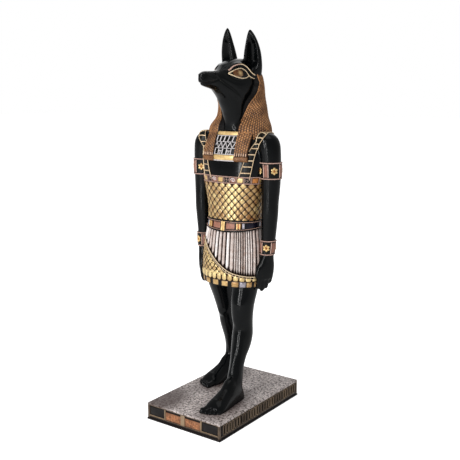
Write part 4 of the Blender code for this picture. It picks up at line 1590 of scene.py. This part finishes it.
def makeHem():
    shape = newShape()
    rows = kilt["sections"]
    low, high = kilt["hemLow"], kilt["hemHigh"]
    growRings(shape, levelRings(rows, low, high, 6, 96, 0.35))
    mark(shape, shape.verts, 1.0, 0.3)
    pitch = 2.0 / kilt["hemSquares"]
    for index in range(kilt["hemSquares"]):
        start = kilt["hemFirst"] + (index - 0.5) * pitch
        parts = ((-0.1, 0.46, 2), (0.5, 0.98, 1)) if index == kilt["hemPair"] else ((0.16, 0.84, 1),)
        for left, right, finish in parts:
            def square(u, v, rise):
                place = start + pitch * (left + (right - left) * u)
                return bodySpot(rows, low + 0.1 + (high - low - 0.5) * v, place, rise)

            addPatch(shape, 6, 6, square, 0.1, swollen(1.15, 0.45), finish, 0.05 + 0.45 * chance.random())
    finishPiece("hemBand", shape, [blackPanel, yellowPanel, silverPanel], "figure", 45.0)


def makeBelt():
    shape = newShape()
    rows = kilt["sections"]

    def beltAt(share, v, rise):
        return bodySpot(rows, beltLevel(share, v), share, rise)

    addPatch(shape, 120, 8, lambda u, v, rise: beltAt(-1.0 + 2.0 * u, v, rise), -0.8, 0.75, 0, 0.3, False)
    for offset, finish, half, tall in kilt["beltLines"]:
        addTube(shape, *ringPath(rows, lambda share: beltLevel(share, offset), 0.8), half, tall, True,
                finish, 8, 0.8)
    around = halfRound(rows, 140.0)
    for side in (1.0, -1.0):
        for start, end, finish, rise in kilt["beltPanels"]:
            def panel(u, v, lift):
                return beltAt(side * (start + (end - start) * u) / around, 0.2 + 0.6 * v, lift)

            addPatch(shape, 8, 6, panel, 0.2, swollen(rise, 0.25), finish, 0.3 + 0.5 * chance.random())
            if finish in (3, 4):  # ribbed panels
                for part in (0.25, 0.75):
                    share = side * (start + (end - start) * part) / around
                    rib = upright(rows, beltLevel(share, 0.22), beltLevel(share, 0.78), share, rise - 0.1, 4)
                    addTube(shape, *rib, 0.5, 0.5, False, 3, 6, 0.9)
    for offset, half, tall in kilt["clasp"]:
        share = offset / around
        line = upright(rows, beltLow(share) + 0.8, kilt["beltTop"] - 0.8, share, 1.1, 6)
        addTube(shape, *line, half, tall, False, 3, 8, 0.9)
    finishes = [blackPanel, pinkLine, pinkPanel, yellowPanel, orangePanel, silverPanel, navyPanel]
    finishPiece("belt", shape, finishes, "figure", 45.0)


makePleats()
makeScaledCloth()
makeHem()
makeBelt()


# Armlets and bracelets

cuffs = {
    "kinds": (  # low, high, rosettes, degrees to the first, extra turn on the right arm, black share
        (177.0, 190.0, 4, 52.0, 16.0, 0.73),
        (117.0, 128.5, 3, 21.0, 0.0, 0.6),
    ),
    "rimHalf": 0.42,
    "rimRise": 0.33,
    "panelInset": 1.2,
    "rosetteRise": 0.38,
    "petals": 6,
    "petalReach": 1.7,
    "petalSize": (1.25, 1.0, 0.64),
    "centreSize": (0.95, 0.95, 0.75),
    "cornerSize": (0.62, 0.62, 0.8),
}


def addRosette(shape, middle, normal):
    side = Vector((0.0, 0.0, 1.0)).cross(normal).normalized()
    up = normal.cross(side).normalized()
    for index in range(cuffs["petals"]):
        turn = 2 * math.pi * (index + 0.5) / cuffs["petals"]
        out = side * math.cos(turn) + up * math.sin(turn)
        matrix = Matrix((out, normal.cross(out).normalized(), normal)).transposed()
        addBall(shape, middle + out * (cuffs["petalReach"] * unit), cuffs["petalSize"], matrix, 3, 2,
                0.5 + 0.5 * chance.random())
    matrix = Matrix((side, up, normal)).transposed()
    addBall(shape, middle + normal * (0.2 * unit), cuffs["centreSize"], matrix, 4, 2, 0.4)


def addCuff(shape, side, low, high, rosettes, first, farTurn, blackShare):
    rows = arms["sections"]
    rims = (low + cuffs["rimHalf"], high - cuffs["rimHalf"])
    growRings(shape, levelRings(rows, low, high, 8, 48, 0.35, side), finish=5)
    for level in rims:
        addTube(shape, *ringPath(rows, level, cuffs["rimRise"], 60, side), cuffs["rimHalf"], 0.6, True, 1,
                8, 0.7)
    pitch = 2.0 / rosettes

    def panelPlace(centre, wide, inset):
        def at(u, v, rise):
            level = low + inset + (high - low - 2 * inset) * v
            return flipped(bodySpot(rows, level, centre + (u - 0.5) * wide, rise), side)
        return at

    for index in range(rosettes):
        centre = (first + (farTurn if side < 0 else 0.0)) / 180.0 + index * pitch
        wide = pitch * blackShare
        edges = (centre - 0.5 * wide, centre + 0.5 * wide)
        addPatch(shape, 10, 8, panelPlace(centre, wide, cuffs["panelInset"]), 0.1, 0.55, 0, 0.4, False)
        for edge in edges:
            addTube(shape, *upright(rows, low + 1.4, high - 1.4, edge, 0.6, 4, side), 0.4, 0.4, False, 1, 6,
                    0.8)
        slim = pitch * (1.0 - blackShare) * 0.78
        pink = panelPlace(centre + pitch / 2, slim, cuffs["panelInset"] + 0.1)
        addPatch(shape, 5, 8, pink, 0.1, swollen(0.85, 0.3), 2, 0.3 + 0.5 * chance.random())
        (middle,), (normal,) = bodyLine(rows, [((low + high) / 2, centre)], cuffs["rosetteRise"], side)
        addRosette(shape, middle, normal)
        corners, _ = bodyLine(rows, [(level, edge) for level in rims for edge in edges], 0.3, side)
        for corner in corners:
            addBall(shape, corner, cuffs["cornerSize"], None, 5, 1, 0.4)


def makeCuffs():
    shape = newShape()
    for side in (1.0, -1.0):
        for kind in cuffs["kinds"]:
            addCuff(shape, side, *kind)
    finishes = [blackPanel, pinkLine, pinkPanel, yellowPanel, orangePanel, kiltGround]
    finishPiece("cuffs", shape, finishes, "figure", 45.0)


makeCuffs()


# Plinth, in millimetres from its own sizes

plinth = {
    "halfWidth": 36.3,
    "halfDepth": 56.3,
    "height": 14.0,
    "lipHeight": 1.4,
    "lipReach": 0.4,
    "border": 2.4,
    "sink": 0.9,
    "slotPitch": 3.7,
    "slotWidth": 1.9,
    "post": 3.5,
    "copper": 15.2,
    "divider": 4.0,
    "thinDivider": 1.4,
    "strokes": 9,
    # centres where the stone top is darkened: painted contact shade round the two feet, and a brown patch
    # near the front corner on the figure's right
    "darkenedSpots": ((17.5, -25.0), (-18.0, 19.0), (-27.0, -44.0)),
    "stone": {"Light": tint(255, 244, 240), "Dark": tint(80, 52, 42), "Scale": 75.0, "Tone": 0.52},
    "speck": tint(46, 30, 25),
    # colour of the painted contact shade round the feet and of the brown patch near the corner
    "shadeAndBrownPatch": tint(58, 38, 32),
}


def stoneTop():
    material, tree, shader = newMaterial("mottled stone")
    place = addNode(tree, "ShaderNodeTexCoord", {})["Object"]
    broad = useGroup(tree, brushMottle, {"Vector": place, **plinth["stone"]})["Color"]
    specks = addNode(tree, "ShaderNodeTexNoise", {
        "Vector": place, "Scale": 500.0, "Detail": 6.0, "Roughness": 0.75,
    })["Fac"]
    colour = mixColours(tree, ramp(tree, specks, ((0.45, 0.95), (0.51, 0.0))), broad, plinth["speck"])
    for x, y in plinth["darkenedSpots"]:  # painted contact shade round each foot, and a brown patch near the front corner on the figure's right
        middle = (x * 0.001, y * 0.001, plinth["height"] * 0.001)
        shift = addNode(tree, "ShaderNodeVectorMath", {0: place, 1: middle}, operation="SUBTRACT")["Vector"]
        squeezed = addNode(tree, "ShaderNodeVectorMath", {0: shift, 1: (1.0, 0.5, 1.0)}, operation="MULTIPLY")
        reach = addNode(tree, "ShaderNodeVectorMath", {0: squeezed["Vector"]}, operation="LENGTH")["Value"]
        shadeAndBrownPatch = addNode(tree, "ShaderNodeMapRange", {
            "Value": reach, "From Min": 0.008, "From Max": 0.02, "To Min": 0.8, "To Max": 0.0,
        })["Result"]
        colour = mixColours(tree, shadeAndBrownPatch, colour, plinth["shadeAndBrownPatch"])
    grain = useGroup(tree, fineGrain, {"Vector": place, "Scale": 700.0, "Low": 0.38,
                                       "High": 0.62})["Roughness"]
    setInputs(tree, shader, {"Base Color": colour, "Roughness": grain,
                             "Normal": addBump(tree, specks, 0.0002)})
    return material


def makePlinth():
    mm = 0.001
    shape = newShape()
    finishes = [
        stoneTop(),
        castPaint("plinth dark", (30, 20, 17), (10, 8, 8), blackWash, 0.1, (0.35, 0.55), 300.0, shine=0.3),
        castPaint("plinth bronze", (156, 132, 104), (46, 32, 24), brownWash, 0.2, (0.32, 0.5), 260.0, 0.8),
        castPaint("plinth copper", (204, 140, 98), (56, 26, 12), blackWash, 0.3, (0.3, 0.45), 260.0, 1.0),
    ]
    halfX, halfY = plinth["halfWidth"] - plinth["lipReach"], plinth["halfDepth"] - plinth["lipReach"]
    sink, border, lip, top = plinth["sink"], plinth["border"], plinth["lipHeight"], plinth["height"]
    copper, thin, pitch = plinth["copper"], plinth["thinDivider"], plinth["slotPitch"]
    low, high = lip + border, top - border
    postX, postY = halfX - plinth["post"] * 0.6, halfY - plinth["post"] * 0.6

    def block(x0, y0, z0, x1, y1, z1, edge, finish, tone=0.5):
        addBlock(shape, (min(x0, x1) * mm, min(y0, y1) * mm, z0 * mm),
                 (max(x0, x1) * mm, max(y0, y1) * mm, z1 * mm),
                 edge * mm, finish, tone)

    layers = (  # inset, underside, top, eased edge, finish, tone
        (sink, 0.2, top - 0.3, 0.0, 1, 0.5),
        (0.0, high + 0.6, top, 0.5, 0, 0.5),
        (0.2, high, high + 1.0, 0.3, 1, 0.8),
        (0.0, high + 0.35, high + 0.8, 0.2, 2, 0.3),
        (0.15, lip + 0.6, low, 0.3, 1, 0.7),
        (0.0, low - 0.75, low - 0.3, 0.2, 2, 0.3),
        (0.3, lip - 0.4, lip + 1.4, 0.3, 1, 0.5),
        (-plinth["lipReach"], 0.0, lip, 0.35, 1, 0.5),
    )
    for inset, bottom, level, edge, finish, tone in layers:
        block(inset - halfX, inset - halfY, bottom, halfX - inset, halfY - inset, level, edge, finish, tone)
    for x in (-1, 1):
        for y in (-1, 1):
            block(x * (halfX - 0.05), y * (halfY - 0.05), lip, x * postX, y * postY, high + 0.4, 0.4, 2, 0.0)
    slots = int((2 * plinth["halfDepth"] - 2 * plinth["post"]) / pitch)
    for x in (-1, 1):  # slats between the slots down each side, and a rubbed line round each slot
        for index in range(slots + 1):
            y = (index - slots / 2) * pitch
            half = (pitch - plinth["slotWidth"]) / 2
            block(x * (halfX - 0.15), y - half, low - 0.3, x * (halfX - sink - 0.4), y + half, high + 0.3,
                  0.25, 1, 0.7)
        outward = [Vector((x, 0.0, 0.0))] * 24
        for index in range(slots):
            y = (index + 0.5 - slots / 2) * pitch
            path = []
            for step in range(24):
                turn = 2 * math.pi * step / 24
                along = bent(math.cos(turn), 4.0) * (plinth["slotWidth"] / 2 + 0.25)
                tall = bent(math.sin(turn), 5.0) * ((high - low) / 2 - 0.35 * chance.random())
                path.append(Vector((x * (halfX - 0.15) * mm, (y + along) * mm,
                                    ((low + high) / 2 + tall) * mm)))
            addTube(shape, path, outward, 0.25, 0.26, True, 2, 6, 0.1 + 0.8 * chance.random(), 0.0)
    half = plinth["divider"] / 2
    end = half + copper
    panelEnd = end + thin
    back = sink + 0.3
    for y in (-1, 1):  # panels across the front and the back
        block(-half, y * halfY, low - 0.3, half, y * (halfY - back), high + 0.3, 0.3, 2, 0.9)
        addBall(shape, Vector((0.0, y * (halfY - 0.3) * mm, (low + high) / 2 * mm)), (1.0, 0.5, 1.0), None,
                2, 2, 1.0)
        for x in (-1, 1):
            block(x * half, y * (halfY - 0.35), low - 0.2, x * end, y * (halfY - back), high - 1.6, 0.25, 3,
                  0.3)
            block(x * (end + 0.1), y * halfY, low - 0.3, x * panelEnd, y * (halfY - back), high + 0.3, 0.25,
                  2, 0.7)
            for index in range(plinth["strokes"]):  # shallow strokes in low relief
                place = half + 1.2 + (copper - 2.4) * (index + 0.5) / plinth["strokes"]
                tall = chance.uniform(1.2, high - low - 3.4)
                start = chance.uniform(low + 0.4, high - 2.2 - tall)
                strokes = [(0.32, 0.02, tall), (0.9, 0.05, 0.6)]
                for wide, inset, length in strokes[:1 + index % 2]:
                    block(x * (place - wide), y * (halfY - inset), start, x * (place + wide),
                          y * (halfY - 0.5),
                          start + length, 0.15, 3, 0.95)
            block(x * (panelEnd + 0.3), y * (halfY - 0.3), low + 0.3, x * (postX - 0.3),
                  y * (halfY - sink - 0.2),
                  high - 0.3, 0.4, 1, 0.2)
            block(x * panelEnd, y * (halfY + 0.02), low - 0.1, x * postX, y * (halfY - 0.5), low + 0.4,
                  0.15, 2, 1.0)
    finishPiece("plinthBody", shape, finishes, "plinth", 30.0)


makePlinth()


# Floor, light and camera

studio = {
    "lens": 59.78,
    "sensor": 36.0,
    "cameraPlace": (0.35452, -0.48248, 0.26015),
    "cameraTurn": (math.radians(90 - 10.495), 0.0, math.radians(35.928)),
    "skyGlow": (0.38, 1.0),  # where it lights the statue, and where the camera sees it
    "floorGlow": (0.2, 0.8),
    "floorHalf": 6.0,
    "lights": (  # name, place, width and height, power
        ("keyStrip", (-0.2, -1.15, 0.5), (0.07, 0.9), 6.5),
        ("sideStrip", (0.16, -1.15, 0.42), (0.04, 0.9), 3.6),
        ("backPanel", (-0.6, 0.9, 0.9), (1.1, 1.1), 3.0),
        ("top", (0.1, -0.05, 1.35), (0.9, 0.9), 2.5),
    ),
    "aim": (0.0, 0.0, 0.15),
}


def seenOrFelt(tree, felt, seen):  # one strength to the eye, and a dimmer one where it lights the statue
    ray = addNode(tree, "ShaderNodeLightPath", {})["Is Camera Ray"]
    return addNode(tree, "ShaderNodeMapRange", {"Value": ray, "To Min": felt, "To Max": seen})["Result"]


def makeFloor():
    shape = bmesh.new()
    bmesh.ops.create_grid(shape, x_segments=1, y_segments=1, size=studio["floorHalf"])
    mesh = bpy.data.meshes.new("floor")
    shape.to_mesh(mesh)
    shape.free()
    paper, tree, shader = newMaterial("pale floor")
    setInputs(tree, shader, {
        "Base Color": (0.9, 0.9, 0.9, 1.0), "Roughness": 0.9, "Specular IOR Level": 0.0,
        "Emission Color": (1.0, 1.0, 1.0, 1.0), "Emission Strength": seenOrFelt(tree, *studio["floorGlow"]),
    })
    mesh.materials.append(paper)
    show("floor", mesh)


def makeStudio():
    world = bpy.data.worlds.new("studio")
    world.use_nodes = True
    setInputs(world.node_tree, world.node_tree.nodes["Background"], {
        "Color": (1.0, 1.0, 1.0, 1.0), "Strength": seenOrFelt(world.node_tree, *studio["skyGlow"]),
    })
    bpy.context.scene.world = world
    bpy.context.scene.view_settings.view_transform = "Standard"
    for name, place, size, power in studio["lights"]:
        data = bpy.data.lights.new(name, "AREA")
        data.shape = "RECTANGLE"
        data.size, data.size_y = size
        data.energy = power
        light = show(name, data)
        light.visible_camera = False
        light.location = place
        light.rotation_euler = (Vector(studio["aim"]) - Vector(place)).to_track_quat("-Z", "Y").to_euler()
    data = bpy.data.cameras.new("camera")
    data.lens = studio["lens"]
    data.sensor_width = studio["sensor"]
    camera = show("camera", data)
    camera.location = studio["cameraPlace"]
    camera.rotation_euler = studio["cameraTurn"]
    bpy.context.scene.camera = camera


makeFloor()
makeStudio()
print("Studio set")
